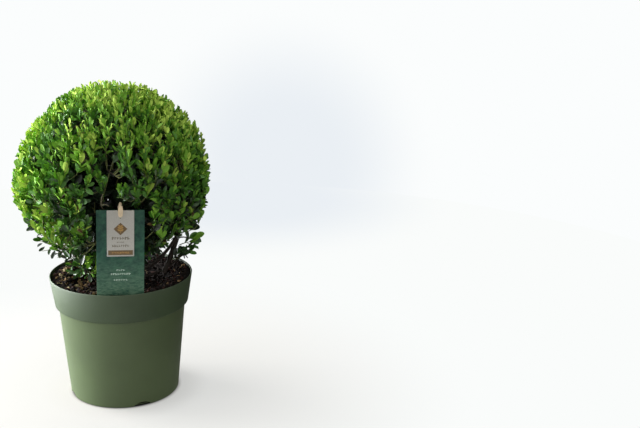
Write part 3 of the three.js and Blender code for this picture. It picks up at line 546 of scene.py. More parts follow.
def mesh_from(bm, name, smooth=True):
    """Turns a bmesh into a mesh and frees it."""
    for face in bm.faces:
        face.smooth = smooth
    mesh = bpy.data.meshes.new(name)
    bm.to_mesh(mesh)
    bm.free()
    return mesh


def mesh_of_curve(curve):
    """Turns a curve into the mesh that it draws, and removes it."""
    drawn = bpy.data.objects.new(curve.name, curve)
    bpy.context.scene.collection.objects.link(drawn)
    evaluated = drawn.evaluated_get(bpy.context.evaluated_depsgraph_get())
    mesh = bpy.data.meshes.new_from_object(evaluated)
    bpy.data.objects.remove(drawn)
    bpy.data.curves.remove(curve)
    return mesh


def add_node(tree, kind, inputs=None, **settings):
    """Adds a node with its settings, and sets or links each named input."""
    made = tree.nodes.new(kind)
    for name, value in settings.items():
        setattr(made, name, value)
    for name, value in (inputs or {}).items():
        if isinstance(value, bpy.types.NodeSocket):
            tree.links.new(value, made.inputs[name])
        else:
            made.inputs[name].default_value = value
    return made


def new_material(name):
    """A material with only its output node, and its node tree."""
    material = bpy.data.materials.new(name)
    material.use_nodes = True
    material.node_tree.nodes.clear()
    return material, material.node_tree


def finish_material(material, shader):
    """Links a shader to the material's output."""
    tree = material.node_tree
    output = tree.nodes.new("ShaderNodeOutputMaterial")
    tree.links.new(shader.outputs[0], output.inputs["Surface"])
    return material


def opaque(colour):
    """A colour with full alpha."""
    return (*colour, 1)


def scaled(colour, factor):
    """A lighter or darker colour."""
    return tuple(min(1, channel * factor) for channel in colour)


def two_tones(tree, pattern, dark, light, low=0.35, high=0.65):
    """A ramp from a dark to a light colour over a pattern."""
    ramp = add_node(tree, "ShaderNodeValToRGB", {"Fac": pattern})
    ramp.color_ramp.elements[0].position = low
    ramp.color_ramp.elements[1].position = high
    ramp.color_ramp.elements[0].color = opaque(dark)
    ramp.color_ramp.elements[1].color = opaque(light)
    return ramp.outputs["Color"]


def grain(tree, size, detail=3, roughness=0.55, stretch=(1, 1, 1)):
    """A noise pattern whose blotches have a real size in metres."""
    place = add_node(tree, "ShaderNodeTexCoord").outputs["Object"]
    mapped = add_node(tree, "ShaderNodeMapping", {"Vector": place, "Scale": stretch}).outputs["Vector"]
    settings = {"Vector": mapped, "Scale": 1 / size, "Detail": detail, "Roughness": roughness}
    return add_node(tree, "ShaderNodeTexNoise", settings).outputs["Fac"]


def bump(tree, pattern, depth, strength=1):
    """A bump whose height is a real size in metres."""
    settings = {"Height": pattern, "Distance": depth, "Strength": strength}
    return add_node(tree, "ShaderNodeBump", settings).outputs["Normal"]


# Materials, each named for what the real piece is made of

def mottled(name, colour, shades, pattern, rough, depth=0, ramp=(0.35, 0.65), specular=0.5):
    """A material whose one grain gives it two shades of a colour and its relief."""
    material, tree = new_material(name)
    grains = grain(tree, *pattern)
    base = two_tones(tree, grains, scaled(colour, shades[0]), scaled(colour, shades[1]), *ramp)
    settings = {"Base Color": base, "Roughness": rough, "Specular IOR Level": specular}
    if depth:
        settings["Normal"] = bump(tree, grains, depth)
    return finish_material(material, add_node(tree, "ShaderNodeBsdfPrincipled", settings))


def moulded_polypropylene(colour, band_painted_shade_colour):
    """Pot plastic: satin, faintly cloudy and scuffed, and darker in the band under the rim, where the darker
    colour is painted shade of the crown above.
    """
    material, tree = new_material("moulded_polypropylene")
    clouds = grain(tree, 60 * MM, 2)
    scuffs = grain(tree, 2.2 * MM, 4, 0.7, (1, 1, 0.25))
    wall = two_tones(tree, clouds, scaled(colour, 0.92), scaled(colour, 1.06))
    band = two_tones(tree, clouds, scaled(band_painted_shade_colour, 0.92), scaled(band_painted_shade_colour, 1.06))
    place = add_node(tree, "ShaderNodeTexCoord").outputs["Object"]
    height = add_node(tree, "ShaderNodeSeparateXYZ", {"Vector": place}).outputs["Z"]
    # Painted shade: the band above this height takes the darker colour
    in_painted_shade_band = add_node(
        tree, "ShaderNodeMath", {0: height, 1: POT_HEIGHT - POT_BAND_HEIGHT}, operation="GREATER_THAN")
    mixed = add_node(tree, "ShaderNodeMix", {
        "Factor": in_painted_shade_band.outputs[0], MIX_FIRST: wall, MIX_SECOND: band}, data_type="RGBA")
    rough = add_node(tree, "ShaderNodeMapRange", {"Value": scuffs, "To Min": 0.5, "To Max": 0.62})
    shader = add_node(tree, "ShaderNodeBsdfPrincipled", {
        "Base Color": mixed.outputs[MIX_RESULT], "Roughness": rough.outputs["Result"], "IOR": 1.49,
        "Specular IOR Level": 0.85, "Normal": bump(tree, scuffs, 0.06 * MM)})
    return finish_material(material, shader)


def damp_potting_mix(colour):
    """Peat and fine bark: nearly black where it is damp, with brown crumbs."""
    return mottled("damp_potting_mix", colour, (0.35, 1.9), (3.5 * MM, 6, 0.75), 0.92, 1.2 * MM,
                   ramp=(0.4, 0.68), specular=0.15)


def dry_chip(name, colour):
    """A chip of bark or a dry stalk: matt, with a fibrous grain."""
    return mottled(name, colour, (0.55, 1.25), (1.2 * MM, 4, 0.6, (1, 1, 0.4)), 0.85, 0.3 * MM, specular=0.2)


def holly_bark(name, colour):
    """Smooth grey-brown bark with fine cracks along the limb and pale specks."""
    return mottled(name, colour, (0.5, 1.35), (2.6 * MM, 5, 0.65, (1, 1, 0.3)), 0.8, 0.5 * MM,
                   ramp=(0.36, 0.66))


def holly_leaf(name, colour, gloss, sheen):
    """A waxy leaf: plain green under a cuticle that shines, with a faint quilting of veins."""
    material, tree = new_material(name)
    veins = grain(tree, 1.6 * MM, 2)
    rough = add_node(tree, "ShaderNodeMapRange", {
        "Value": veins, "To Min": gloss - 0.06, "To Max": gloss + 0.08})
    shader = add_node(tree, "ShaderNodeBsdfPrincipled", {
        "Base Color": opaque(colour), "Roughness": rough.outputs["Result"], "IOR": 1.45,
        "Specular IOR Level": sheen, "Normal": bump(tree, veins, 0.12 * MM)})
    return finish_material(material, shader)


def coated_card(colour):
    """Printed and coated card: mottled ink, paler towards its foot, under a thin satin varnish."""
    material, tree = new_material("coated_card")
    place = add_node(tree, "ShaderNodeTexCoord").outputs["Object"]
    height = add_node(tree, "ShaderNodeSeparateXYZ", {"Vector": place}).outputs["Z"]
    low = add_node(tree, "ShaderNodeMapRange", {
        "Value": height, "From Min": SOIL_TOP + 75 * MM, "From Max": SOIL_TOP + 15 * MM})
    blotches, streaks = grain(tree, 9 * MM, 5, 0.65), grain(tree, 3.5 * MM, 4, 0.7, (0.6, 1, 1.5))
    upper = two_tones(tree, blotches, linear("#123F39"), scaled(colour, 0.95), 0.36, 0.62)
    lower = two_tones(tree, streaks, scaled(colour, 0.66), linear("#73967B"), 0.34, 0.7)
    mixed = add_node(tree, "ShaderNodeMix", {
        "Factor": low.outputs["Result"], MIX_FIRST: upper, MIX_SECOND: lower}, data_type="RGBA")
    shader = add_node(tree, "ShaderNodeBsdfPrincipled", {
        "Base Color": mixed.outputs[MIX_RESULT], "Roughness": 0.5, "IOR": 1.45,
        "Normal": bump(tree, grain(tree, 0.9 * MM), 0.02 * MM)})
    return finish_material(material, shader)


def uncoated_paper(colour):
    """Warm grey paper with visible fibres."""
    return mottled("uncoated_paper", colour, (0.9, 1.05), (1.1 * MM, 4, 0.7), 0.75, 0.03 * MM)


def printing_ink(name, colour):
    """A thin coat of ink that lets the paper's fibres show."""
    return mottled(name, colour, (0.82, 1.12), (0.8 * MM, 3, 0.7), 0.6)


def beech_wood(colour):
    """Pale beech with scorched orange-brown edges from its cutting."""
    material, tree = new_material("beech_wood")
    fibres = grain(tree, 1.4 * MM, 4, 0.6, (1, 1, 0.12))
    face = two_tones(tree, fibres, scaled(colour, 0.82), scaled(colour, 1.05))
    edge = add_node(tree, "ShaderNodeAttribute", attribute_name="edge").outputs["Fac"]
    mixed = add_node(tree, "ShaderNodeMix", {
        "Factor": edge, MIX_FIRST: face, MIX_SECOND: opaque(linear("#B9793A"))}, data_type="RGBA")
    shader = add_node(tree, "ShaderNodeBsdfPrincipled", {
        "Base Color": mixed.outputs[MIX_RESULT], "Roughness": 0.62, "Normal": bump(tree, fibres, 0.05 * MM)})
    return finish_material(material, shader)


def steel_wire():
    """Drawn steel wire with a dull bright finish."""
    material, tree = new_material("steel_wire")
    drawn = grain(tree, 0.5 * MM, 3)
    rough = add_node(tree, "ShaderNodeMapRange", {"Value": drawn, "To Min": 0.28, "To Max": 0.42})
    shader = add_node(tree, "ShaderNodeBsdfPrincipled", {
        "Base Color": opaque(linear("#B4B4B0")), "Metallic": 1, "Roughness": rough.outputs["Result"]})
    return finish_material(material, shader)


# The source's rule: its random numbers, curves and crown

def seeded_random(seed):
    """The same numbers from 0 to 1 as the source draws from this seed."""
    whole = 0xFFFFFFFF
    state = seed

    def draw():
        nonlocal state
        state = (state + 0x6D2B79F5) & whole
        mixed = ((state ^ (state >> 15)) * (1 | state)) & whole
        mixed ^= (mixed + (((mixed ^ (mixed >> 7)) * (61 | mixed)) & whole)) & whole
        return (mixed ^ (mixed >> 14)) / 2 ** 32

    return draw


def unit_from(azimuth, latitude):
    """The direction with this azimuth and latitude, in degrees."""
    turn, tilt = math.radians(azimuth), math.radians(latitude)
    return np.array([math.cos(tilt) * math.cos(turn), math.cos(tilt) * math.sin(turn), math.sin(tilt)])


def normalised(vectors):
    """Vectors brought to length 1."""
    return vectors / np.linalg.norm(vectors, axis=-1, keepdims=True)


def above_soil(x, y, z):
    """A place given in millimetres from the middle of the soil's top."""
    return np.array([x * MM, y * MM, z * MM + SOIL_TOP])


def places_above_soil(places):
    """Places given in millimetres from the middle of the soil's top, as one array."""
    return np.array([above_soil(*place) for place in places])


def outwards(azimuth, reach, height):
    """A place at this azimuth, distance from the stem's axis and height over the soil."""
    level = unit_from(azimuth, 0) * reach
    return above_soil(level[0], level[1], height)


def bezier_point(curve, share):
    """Points of a quadratic curve, or of many curves with a share each."""
    start, bend, end = np.moveaxis(np.asarray(curve), -2, 0)
    share = np.asarray(share)[..., None]
    return (1 - share) ** 2 * start + 2 * share * (1 - share) * bend + share ** 2 * end


def bezier_heading(curve, share):
    """Unit tangents of a quadratic curve, or of many curves with a share each."""
    start, bend, end = np.moveaxis(np.asarray(curve), -2, 0)
    share = np.asarray(share)[..., None]
    return normalised((1 - share) * (bend - start) + share * (end - bend))


def even_share(curve, shares):
    """The curve's own shares at these shares of its length."""
    steps = np.linspace(0, 1, 201)
    points = bezier_point(curve, steps)
    lengths = np.concatenate([[0], np.cumsum(np.linalg.norm(np.diff(points, axis=0), axis=1))])
    return np.interp(np.asarray(shares) * lengths[-1], lengths, steps)


def even_point(curve, shares):
    """Points at these shares of the curve's length."""
    return bezier_point(curve, even_share(curve, shares))


CROWN_CENTRE = above_soil(-5, 0, 148)
STEM_CURVE = places_above_soil((STEM_FOOT, STEM_BEND, STEM_FORK))
LABEL_PLACE = (
    Matrix.Translation(Vector(above_soil(*LABEL_FOOT)))
    @ Matrix.Rotation(math.radians(LABEL_LEAN), 4, "X")
    @ Matrix.Rotation(math.radians(LABEL_ROLL), 4, "Y")
)
FROM_LABEL = np.array(LABEL_PLACE.inverted())


def smoothstep(value, low, high):
    """A smooth climb from 0 at low to 1 at high."""
    share = np.clip((value - low) / (high - low), 0, 1)
    return share * share * (3 - 2 * share)


def latitudes(directions):
    """Latitudes of unit directions, in degrees."""
    return np.degrees(np.arcsin(np.clip(directions[..., 2], -1, 1)))


def lump_at(directions):
    """How far the crown's lumps and hollows stand out, in metres."""
    height = np.zeros(len(directions))
    for lump in CROWN_LUMPS:
        middle = unit_from(lump["azimuth"], lump["latitude"])
        away = np.arccos(np.clip(directions @ middle, -1, 1)) / math.radians(lump["spread"])
        height += lump["height"] * MM * np.exp(-away * away)
    return height


def raggedness(directions):
    """The share of its reach that the crown keeps, which is less and uneven low down."""
    low = smoothstep(-latitudes(directions), -RAGGED_TOP_LATITUDE, -RAGGED_FULL_LATITUDE)
    turn = np.arctan2(directions[:, 1], directions[:, 0])
    wave = np.full(len(directions), 0.5)
    for ripple in RAGGED_WAVES:
        wave += ripple["share"] * np.sin(ripple["lobes"] * turn + ripple["twist"] * directions[:, 2])
    return 1 - RAGGED_DEPTH * low * wave


def surface_radius(directions):
    """The clipped crown's reach from its centre in these directions."""
    level = np.hypot(directions[:, 0], directions[:, 1]) / CROWN_RADIUS
    rise = directions[:, 2] / CROWN_HALF_HEIGHT
    return (1 / np.hypot(level, rise) + lump_at(directions)) * raggedness(directions)


def crown_points(directions, shares):
    """Points at shares of the crown's reach."""
    return CROWN_CENTRE + directions * (surface_radius(directions) * shares)[:, None]


def inside_surface(points, proud=0):
    """Which points are no further out than the crown's surface, or stand proud of it by less."""
    offsets = points - CROWN_CENTRE
    reach = np.linalg.norm(offsets, axis=1)
    return reach <= surface_radius(offsets / reach[:, None]) + proud


def crown_directions():
    """The middle direction of each mass: the top, an upper ring and a lower ring."""
    upper = [unit_from(CROWN_FRONT_SEAM + RING_STEP * (at + 0.5), UPPER_LATITUDE) for at in range(RING_COUNT)]
    lower = [unit_from(CROWN_FRONT_SEAM + RING_STEP * at, LOWER_LATITUDE) for at in range(RING_COUNT)]
    return np.array([UP, *upper, *lower])


MASS_DIRECTIONS = crown_directions()


def inside_cell(home, points, room=0):
    """Which points are in this mass's own part of the crown."""
    others = np.delete(MASS_DIRECTIONS, home, axis=0)
    faces = normalised(MASS_DIRECTIONS[home] - others)
    return np.all((points - CROWN_CENTRE) @ faces.T > CELL_MARGIN + room, axis=1)


def homes_of(directions):
    """The number of the mass that each direction points into."""
    return np.argmax(directions @ MASS_DIRECTIONS.T, axis=1)


def in_crown(directions, bare_angle=CROWN_LEAF_ANGLE):
    """Which directions are outside the bare throat under the crown."""
    return directions[:, 2] > -math.cos(math.radians(bare_angle))


def clear_of_label(points):
    """Which points keep out of the label and the view of it."""
    local = points @ FROM_LABEL[:3, :3].T + FROM_LABEL[:3, 3]
    beside = np.abs(local[:, 0]) > LABEL_WIDTH / 2 + LABEL_SPACE["side"]
    above = local[:, 2] > LABEL_HEIGHT + LABEL_SPACE["top"]
    return beside | above | (local[:, 1] > LABEL_SPACE["back"])


def sprig_centre(sprig):
    """The middle of a low sprig's leaves."""
    return outwards(sprig["azimuth"], *sprig["centre"])


def clear_of_sprigs(points):
    """Which points keep out of every low sprig."""
    clear = np.ones(len(points), bool)
    for sprig in SPRIGS:
        away = np.linalg.norm(points - sprig_centre(sprig), axis=1)
        clear &= away > sprig["radius"] * MM + CELL_MARGIN
    return clear


def pot_inside_radius(height):
    """The inside of the pot's band at this height."""
    share = (height - (POT_HEIGHT - POT_BAND_HEIGHT)) / POT_BAND_HEIGHT
    return POT_BAND_FOOT_RADIUS + (POT_RIM_RADIUS - POT_BAND_FOOT_RADIUS) * share - POT_WALL


def clear_of_pot(points):
    """Which points are over the rim, or inside it and over the soil."""
    over = points[:, 2] > POT_HEIGHT + RIM_CLEARANCE
    within = np.hypot(points[:, 0], points[:, 1]) < pot_inside_radius(SOIL_TOP) - RIM_CLEARANCE
    return over | (within & (points[:, 2] > SOIL_TOP + SOIL_CLEARANCE))


def stem_radius(share, turn):
    """The stem's radius: a taper, with a root flare of three lobes at its foot."""
    body = STEM_BODY_RADIUS + (STEM_FORK_RADIUS - STEM_BODY_RADIUS) * share
    flare = STEM_FLARE * np.exp(-share * STEM_FLARE_FADE)
    return body + flare * (1 + STEM_LOBE_DEPTH * np.cos(STEM_ROOT_LOBES * turn))


def stem_point(height):
    """The stem's axis at this height over the soil, in millimetres."""
    share = (height - STEM_FOOT[2]) / (STEM_FORK[2] - STEM_FOOT[2])
    return even_point(STEM_CURVE, min(max(share, 0), 1))


def bough(shape, start, bend, tip):
    """A bough's curve and the radii at its ends."""
    radii = (shape["foot_radius"] * MM, shape["tip_radius"] * MM)
    return {"curve": np.array([start, bend, tip]), "radii": radii}


def top_bough():
    """The bough that carries straight on from the fork."""
    heading = bezier_heading(STEM_CURVE, 1)
    foot = STEM_CURVE[2] + heading * GAP
    tip = CROWN_CENTRE + UP * CROWN_RADIUS * TOP_BOUGH["tip_reach"]
    return bough(TOP_BOUGH, foot, foot + heading * TOP_BOUGH["bend"] * MM, tip)


def upper_bough(azimuth):
    """A bough to a mass of the upper ring."""
    reach = unit_from(azimuth, UPPER_BOUGH["tip_latitude"]) * CROWN_RADIUS * UPPER_BOUGH["tip_reach"]
    bend = outwards(azimuth, UPPER_BEND["out"], UPPER_BOUGH["foot"] + UPPER_BEND["up"])
    return bough(UPPER_BOUGH, stem_point(UPPER_BOUGH["foot"]), bend, CROWN_CENTRE + reach)


def lower_bough(azimuth, reach):
    """A bough to a mass of the lower ring."""
    tip = outwards(azimuth, reach, LOWER_BOUGH["tip_height"])
    bend = outwards(azimuth, reach * LOWER_BEND_SHARE, LOWER_BOUGH["foot"] + LOWER_BEND_RISE)
    return bough(LOWER_BOUGH, stem_point(LOWER_BOUGH["foot"]), bend, tip)


def sprig_bough(sprig):
    """A thin bough to a low sprig."""
    reach, height = sprig["tip"]
    bend = outwards(sprig["azimuth"], reach * LOWER_BEND_SHARE, SPRIG_BOUGH["foot"] + SPRIG_BOUGH["rise"])
    tip = outwards(sprig["azimuth"], reach, height)
    return bough(SPRIG_BOUGH, stem_point(SPRIG_BOUGH["foot"]), bend, tip)


@functools.cache
def plant_plan():
    """Every mass with its bough: the top, the two rings and the sprigs."""
    plan = [{"name": "top", "bough": top_bough(), "home": 0, "shape": UPPER_SHAPE}]
    for at in range(RING_COUNT):
        made = upper_bough(CROWN_FRONT_SEAM + RING_STEP * (at + 0.5))
        plan.append({"name": f"upper_{at + 1}", "bough": made, "home": at + 1, "shape": UPPER_SHAPE})
    for at in range(RING_COUNT):
        made = lower_bough(CROWN_FRONT_SEAM + RING_STEP * at, LOWER_REACHES[at])
        home = at + RING_COUNT + 1
        plan.append({"name": f"lower_{at + 1}", "bough": made, "home": home, "shape": LOWER_SHAPE})
    for sprig in SPRIGS:
        plan.append({"name": f"sprig_{sprig['name']}", "bough": sprig_bough(sprig), "sprig": sprig})
    return plan


@functools.cache
def limb_samples():
    """Points down the middle of the stem and every bough, and the limb's radius at each."""
    shares = np.linspace(0, 1, LIMB_SAMPLES + 1)
    points, radii = [even_point(STEM_CURVE, shares)], [stem_radius(shares, 0)]
    for entry in plant_plan():
        start, end = entry["bough"]["radii"]
        points.append(even_point(entry["bough"]["curve"], shares))
        radii.append(start + (end - start) * shares)
    return np.concatenate(points), np.concatenate(radii)


def clear_of_limbs(points, room=0):
    """Which points keep off the stem and the boughs."""
    centres, radii = limb_samples()
    away = np.linalg.norm(points[:, None] - centres[None], axis=2)
    return np.all(away > radii + LIMB_CLEARANCE + room, axis=1)


def clear_of_cleft(points):
    """Which points are out of the dark cleft that the photograph shows over the label."""
    away = points - CROWN_CENTRE
    turns = np.abs(np.degrees(np.arctan2(away[..., 1], away[..., 0])) - CLEFT["azimuth"])
    heights = np.degrees(np.arctan2(away[..., 2], np.hypot(away[..., 0], away[..., 1])))
    half_width = CLEFT["half_width"] * smoothstep(CLEFT["top_latitude"] - heights, 0, CLEFT["taper"])
    deep = np.linalg.norm(away, axis=-1) < CLEFT["inner"] * CROWN_RADIUS
    return deep | (turns > half_width) | (heights < CLEFT["foot_latitude"])


def clear_of_pieces(points, room=0):
    """Which points keep off the label, the pot, the stem and the boughs."""
    return clear_of_label(points) & clear_of_pot(points) & clear_of_limbs(points, room)


# Twigs and shoots by the source's rule, then sprays by the finer one

def spread_directions(count, scatter, random):
    """Directions spread evenly over a ball on a golden spiral, each a little scattered."""
    directions = []
    for at in range(count):
        height = 1 - (2 * at + 1) / count
        level, turn = math.sqrt(1 - height * height), at * GOLDEN_ANGLE
        scattered = [scatter * (random() - 0.5) for _ in range(3)]
        directions.append([level * math.cos(turn), level * math.sin(turn), height] + np.array(scattered))
    return normalised(np.array(directions))


def mass_stem(curve, end):
    """The stem that carries on from a bough's tip into its mass."""
    heading = bezier_heading(curve, 1)
    foot = curve[2] + heading * GAP
    return np.array([foot, foot + heading * np.linalg.norm(foot - end) / 2, end])


def grow_twigs(stem, tips, fits, random):
    """Twigs from the outer part of the stem, bowed outwards to their tips."""
    twigs = []
    for tip in tips:
        foot = even_point(stem, TWIG_FOOT_SHARE + (1 - TWIG_FOOT_SHARE) * random())
        bow = bezier_heading(stem, 1) * np.linalg.norm(foot - tip) * TWIG_BOW
        twigs.append(np.array([foot, (foot + tip) / 2 + bow, tip]))
    return [twig for twig in twigs if fits(bezier_point(twig, PATH_SHARES), TWIG_CLEARANCE).all()]


def grow_shoots(twigs, tips, fits):
    """Straight shoots from the tips of the nearest twigs."""
    ends = np.array([twig[2] for twig in twigs])
    shoots = []
    for tip in tips:
        foot = ends[np.argmin(np.linalg.norm(ends - tip, axis=1))]
        shoots.append(np.array([foot, (foot + tip) / 2, tip]))
    return [shoot for shoot in shoots if fits(bezier_point(shoot, PATH_SHARES), TWIG_CLEARANCE).all()]


def crown_limbs(entry):
    """A crown mass's stem, twigs and shoots."""
    home, shape = entry["home"], entry["shape"]

    def fits(points, room):
        inside = inside_cell(home, points, room) & inside_surface(points)
        return inside & clear_of_sprigs(points) & clear_of_pieces(points, room)

    def tips(directions, share):
        own = directions[(homes_of(directions) == home) & in_crown(directions)]
        return crown_points(own, share)

    end = crown_points(MASS_DIRECTIONS[home:home + 1], shape["stem"])[0]
    stem = mass_stem(entry["bough"]["curve"], end)
    random = seeded_random(MASS_SEED + home)
    ends = tips(spread_directions(TWIG_COUNT, TWIG_SCATTER, seeded_random(TWIG_SEED)), shape["anchor"])
    twigs = grow_twigs(stem, ends, fits, random)
    ends = tips(spread_directions(SHOOT_COUNT, SHOOT_SCATTER, seeded_random(SHOOT_SEED)), shape["shoot"])
    return stem, twigs, grow_shoots(twigs, ends, fits)


def sprig_limbs(entry, order):
    """A low sprig's stem and its shoots."""
    sprig, centre = entry["sprig"], sprig_centre(entry["sprig"])
    stem = mass_stem(entry["bough"]["curve"], centre)
    directions = spread_directions(SPRIG_SHOOTS, SHOOT_SCATTER, seeded_random(MASS_SEED + order))
    tips = centre + directions * sprig["radius"] * MM * SPRIG_SHOOT_REACH
    return stem, [], [np.array([centre, (centre + tip) / 2, tip]) for tip in tips]


def highness(directions):
    """0 where the crown's side is steep, and 1 on its top."""
    return smoothstep(latitudes(directions), *TOP_LATITUDES)


def lowness(directions):
    """0 down to the crown's widest part, and 1 near its foot."""
    return smoothstep(-latitudes(directions), -LOW_LATITUDES[0], -LOW_LATITUDES[1])


def spray_density(directions, layer_number):
    """The share of sprays that grow: dense on top, loose on the sides and the foot, open in places."""
    if layer_number < OUTER_LAYERS:
        density = MIDDLE_DENSITY + TOP_DENSITY * highness(directions) + LOW_DENSITY * lowness(directions)
    else:
        density = np.ones(len(directions))
    for opening in OPENINGS:
        if layer_number < opening["layers"]:
            middle = unit_from(opening["azimuth"], opening["latitude"])
            away = np.degrees(np.arccos(np.clip(directions @ middle, -1, 1))) / opening["spread"]
            density = density * np.clip(1 - opening["depth"] * np.exp(-away * away), 0, 1)
    return density


def spray_curves(tips, headings, length, limb_points):
    """Curves from the nearest limb to each tip, which they reach along the heading."""
    feet = tips - headings * length
    away = np.linalg.norm(feet[:, None] - limb_points[None], axis=2)
    return np.stack([limb_points[np.argmin(away, axis=1)], feet, tips], axis=1)


def headings_for(directions, lean, numbers):
    """Headings between straight out and straight up, a little scattered."""
    scatter = numbers.normal(0, HEADING_SCATTER, directions.shape)
    rise = (lean * (1 - LOW_LEAN_LOSS * lowness(directions)))[:, None]
    return normalised(directions * (1 - rise) + UP * rise + scatter)


def tone_and_painted_light_of(directions, shade, numbers):
    """The tone of each spray, partly age and partly painted light and shade: lighter on top and at the sunny
    left front, darker inside and low down.
    """
    patches = np.array([noise.noise(Vector(direction) * PATCH_SCALE) for direction in directions])
    rightwards, upwards = directions[:, 0], directions[:, 2]
    front = smoothstep(-directions[:, 1], *FRONT_SIDE)
    foot, lower = lowness(directions), smoothstep(-upwards, *LOWER_HALF)
    # Painted light: the low left front is made lighter
    painted_light_low_left = smoothstep(-rightwards, *LEFT_SIDE) * lower * front
    # Painted shade: a band on the left half is made darker
    painted_shade_left_half = smoothstep(-rightwards, *LEFT_HALF[0]) - smoothstep(-rightwards, *LEFT_HALF[1])
    age = TONE_AND_PAINTED_LIGHT["middle"] + TONE_AND_PAINTED_LIGHT["top"] * upwards + TONE_AND_PAINTED_LIGHT["right"] * rightwards
    age += TONE_AND_PAINTED_LIGHT["sunny"] * smoothstep(-rightwards, *SUNNY_SIDE) * front + TONE_AND_PAINTED_LIGHT["foot"] * foot
    # Painted shade: the right foot is made darker
    age += TONE_AND_PAINTED_LIGHT["painted_shade_right_foot"] * smoothstep(rightwards, *RIGHT_SIDE) * foot
    age += TONE_AND_PAINTED_LIGHT["painted_light_low_left"] * painted_light_low_left + TONE_AND_PAINTED_LIGHT["painted_shade_left_half"] * painted_shade_left_half
    luck = numbers.normal(0, TONE_AND_PAINTED_LIGHT["luck"], len(directions)) * (1 + TONE_AND_PAINTED_LIGHT["low_luck"] * lower)
    age += TONE_AND_PAINTED_LIGHT["patches"] * patches + luck + shade * (1 - TONE_AND_PAINTED_LIGHT["low_left_light"] * painted_light_low_left)
    return np.clip(age, 0, DARKEST_TONE)


def crown_sprays(home, limb_points):
    """The sprays of one crown mass, layer by layer: their curves, tones and leaf sizes."""
    grown = []
    for layer_number, layer in enumerate(LAYERS):
        seed = SPRAY_SEED + layer_number
        directions = spread_directions(layer["count"], SPRAY_SCATTER, seeded_random(seed))
        numbers = np.random.default_rng(seed)
        shares = layer["reach"] + layer["spread"] * (numbers.random(len(directions)) - 0.5)
        headings = headings_for(directions, layer["lean"], numbers)
        tones = tone_and_painted_light_of(directions, layer["shade"], numbers)
        kept = (homes_of(directions) == home) & in_crown(directions, THROAT_ANGLE)
        kept &= numbers.random(len(directions)) < spray_density(directions, layer_number)
        kept &= latitudes(directions) < layer["below"]
        tips = crown_points(directions[kept], shares[kept])
        curves = spray_curves(tips, headings[kept], layer["length"] * MM, limb_points)
        fits = spray_fits(curves)
        ways = directions[kept][fits]
        sizes = layer["size"] * (MIDDLE_LEAF_SIZE + (TOP_LEAF_SIZE - MIDDLE_LEAF_SIZE) * highness(ways))
        sizes = sizes * (1 + (LOW_LEAF_SHARE - 1) * lowness(ways))
        grown.append({"curves": curves[fits], "tones": tones[kept][fits], "sizes": sizes})
    return grown


def spray_fits(curves):
    """Which sprays run clear of the label and the pot, and end clear of the limbs and sprigs."""
    fits = clear_of_pieces(curves[:, 2]) & clear_of_sprigs(curves[:, 2]) & clear_of_cleft(curves[:, 2])
    for share in PATH_SHARES:
        points = bezier_point(curves, np.full(len(curves), share))
        fits &= clear_of_label(points) & clear_of_pot(points)
    return fits


def sprig_sprays(sprig, order, limb_points):
    """The sprays of a low sprig, on all its sides but its underside, with small leaves."""
    directions = spread_directions(SPRIG_SPRAYS, SPRAY_SCATTER, seeded_random(SPRAY_SEED + order))
    numbers = np.random.default_rng(SPRAY_SEED + order)
    tips = sprig_centre(sprig) + directions * sprig["radius"] * MM * SPRIG_SPRAY_REACH
    kept = clear_of_pieces(tips) & (directions[:, 2] > SPRIG_LOWEST)
    headings = headings_for(directions, SPRIG_LEAN, numbers)
    tones = SPRIG_TONE + numbers.normal(0, SPRIG_TONE_SPREAD, len(directions))
    curves = spray_curves(tips[kept], headings[kept], SPRIG_SPRAY_LENGTH * MM, limb_points)
    sizes = np.full(len(curves), SPRIG_LEAF_SIZE)
    return [{"curves": curves, "tones": np.clip(tones[kept], 0, DARKEST_TONE), "sizes": sizes}]


def placed_sprays(name):
    """The sprays that stand out of a mass where the photograph shows them."""
    return [{
        "curves": places_above_soil(spray["path"])[None],
        "tones": np.array([spray["tone"]]),
        "sizes": np.array([spray["size"]]),
        "leaves": spray["leaves"],
    } for spray in PLACED_SPRAYS.get(name, ())]


def placed_leaves(name):
    """Single leaves that stand out of a mass where the photograph shows them."""
    placed = PLACED_LEAVES.get(name, ())
    if not placed:
        return []
    roots = places_above_soil([leaf["root"] for leaf in placed])
    reaches = places_above_soil([leaf["tip"] for leaf in placed]) - roots
    lengths = np.linalg.norm(reaches, axis=1)
    directions = reaches / lengths[:, None]
    faces = np.array(PLACED_FACE) - directions * (directions @ np.array(PLACED_FACE))[:, None]
    tones = np.array([leaf["tone"] for leaf in placed], float)
    return [{"root": roots, "direction": directions, "face": normalised(faces), "length": lengths,
             "tone": tones}]


@functools.cache
def grown_mass(order):
    """A mass's stem, twigs, shoots and sprays, with the placed sprays after the grown ones."""
    entry = plant_plan()[order]
    is_sprig = "sprig" in entry
    stem, twigs, shoots = sprig_limbs(entry, order) if is_sprig else crown_limbs(entry)
    shares = np.linspace(SPRAY_SAMPLE_START, 1, SPRAY_SAMPLES)
    samples = np.concatenate([bezier_point(limb, shares) for limb in [stem, *twigs, *shoots]])
    sprays = placed_sprays(entry["name"])
    if not is_sprig:
        sprays = crown_sprays(entry["home"], samples) + sprays
    elif entry["name"] != HAND_PLACED_SPRIG:
        sprays = sprig_sprays(entry["sprig"], order, samples) + sprays
    return {"entry": entry, "stem": stem, "twigs": twigs, "shoots": shoots, "sprays": sprays}


# Leaves

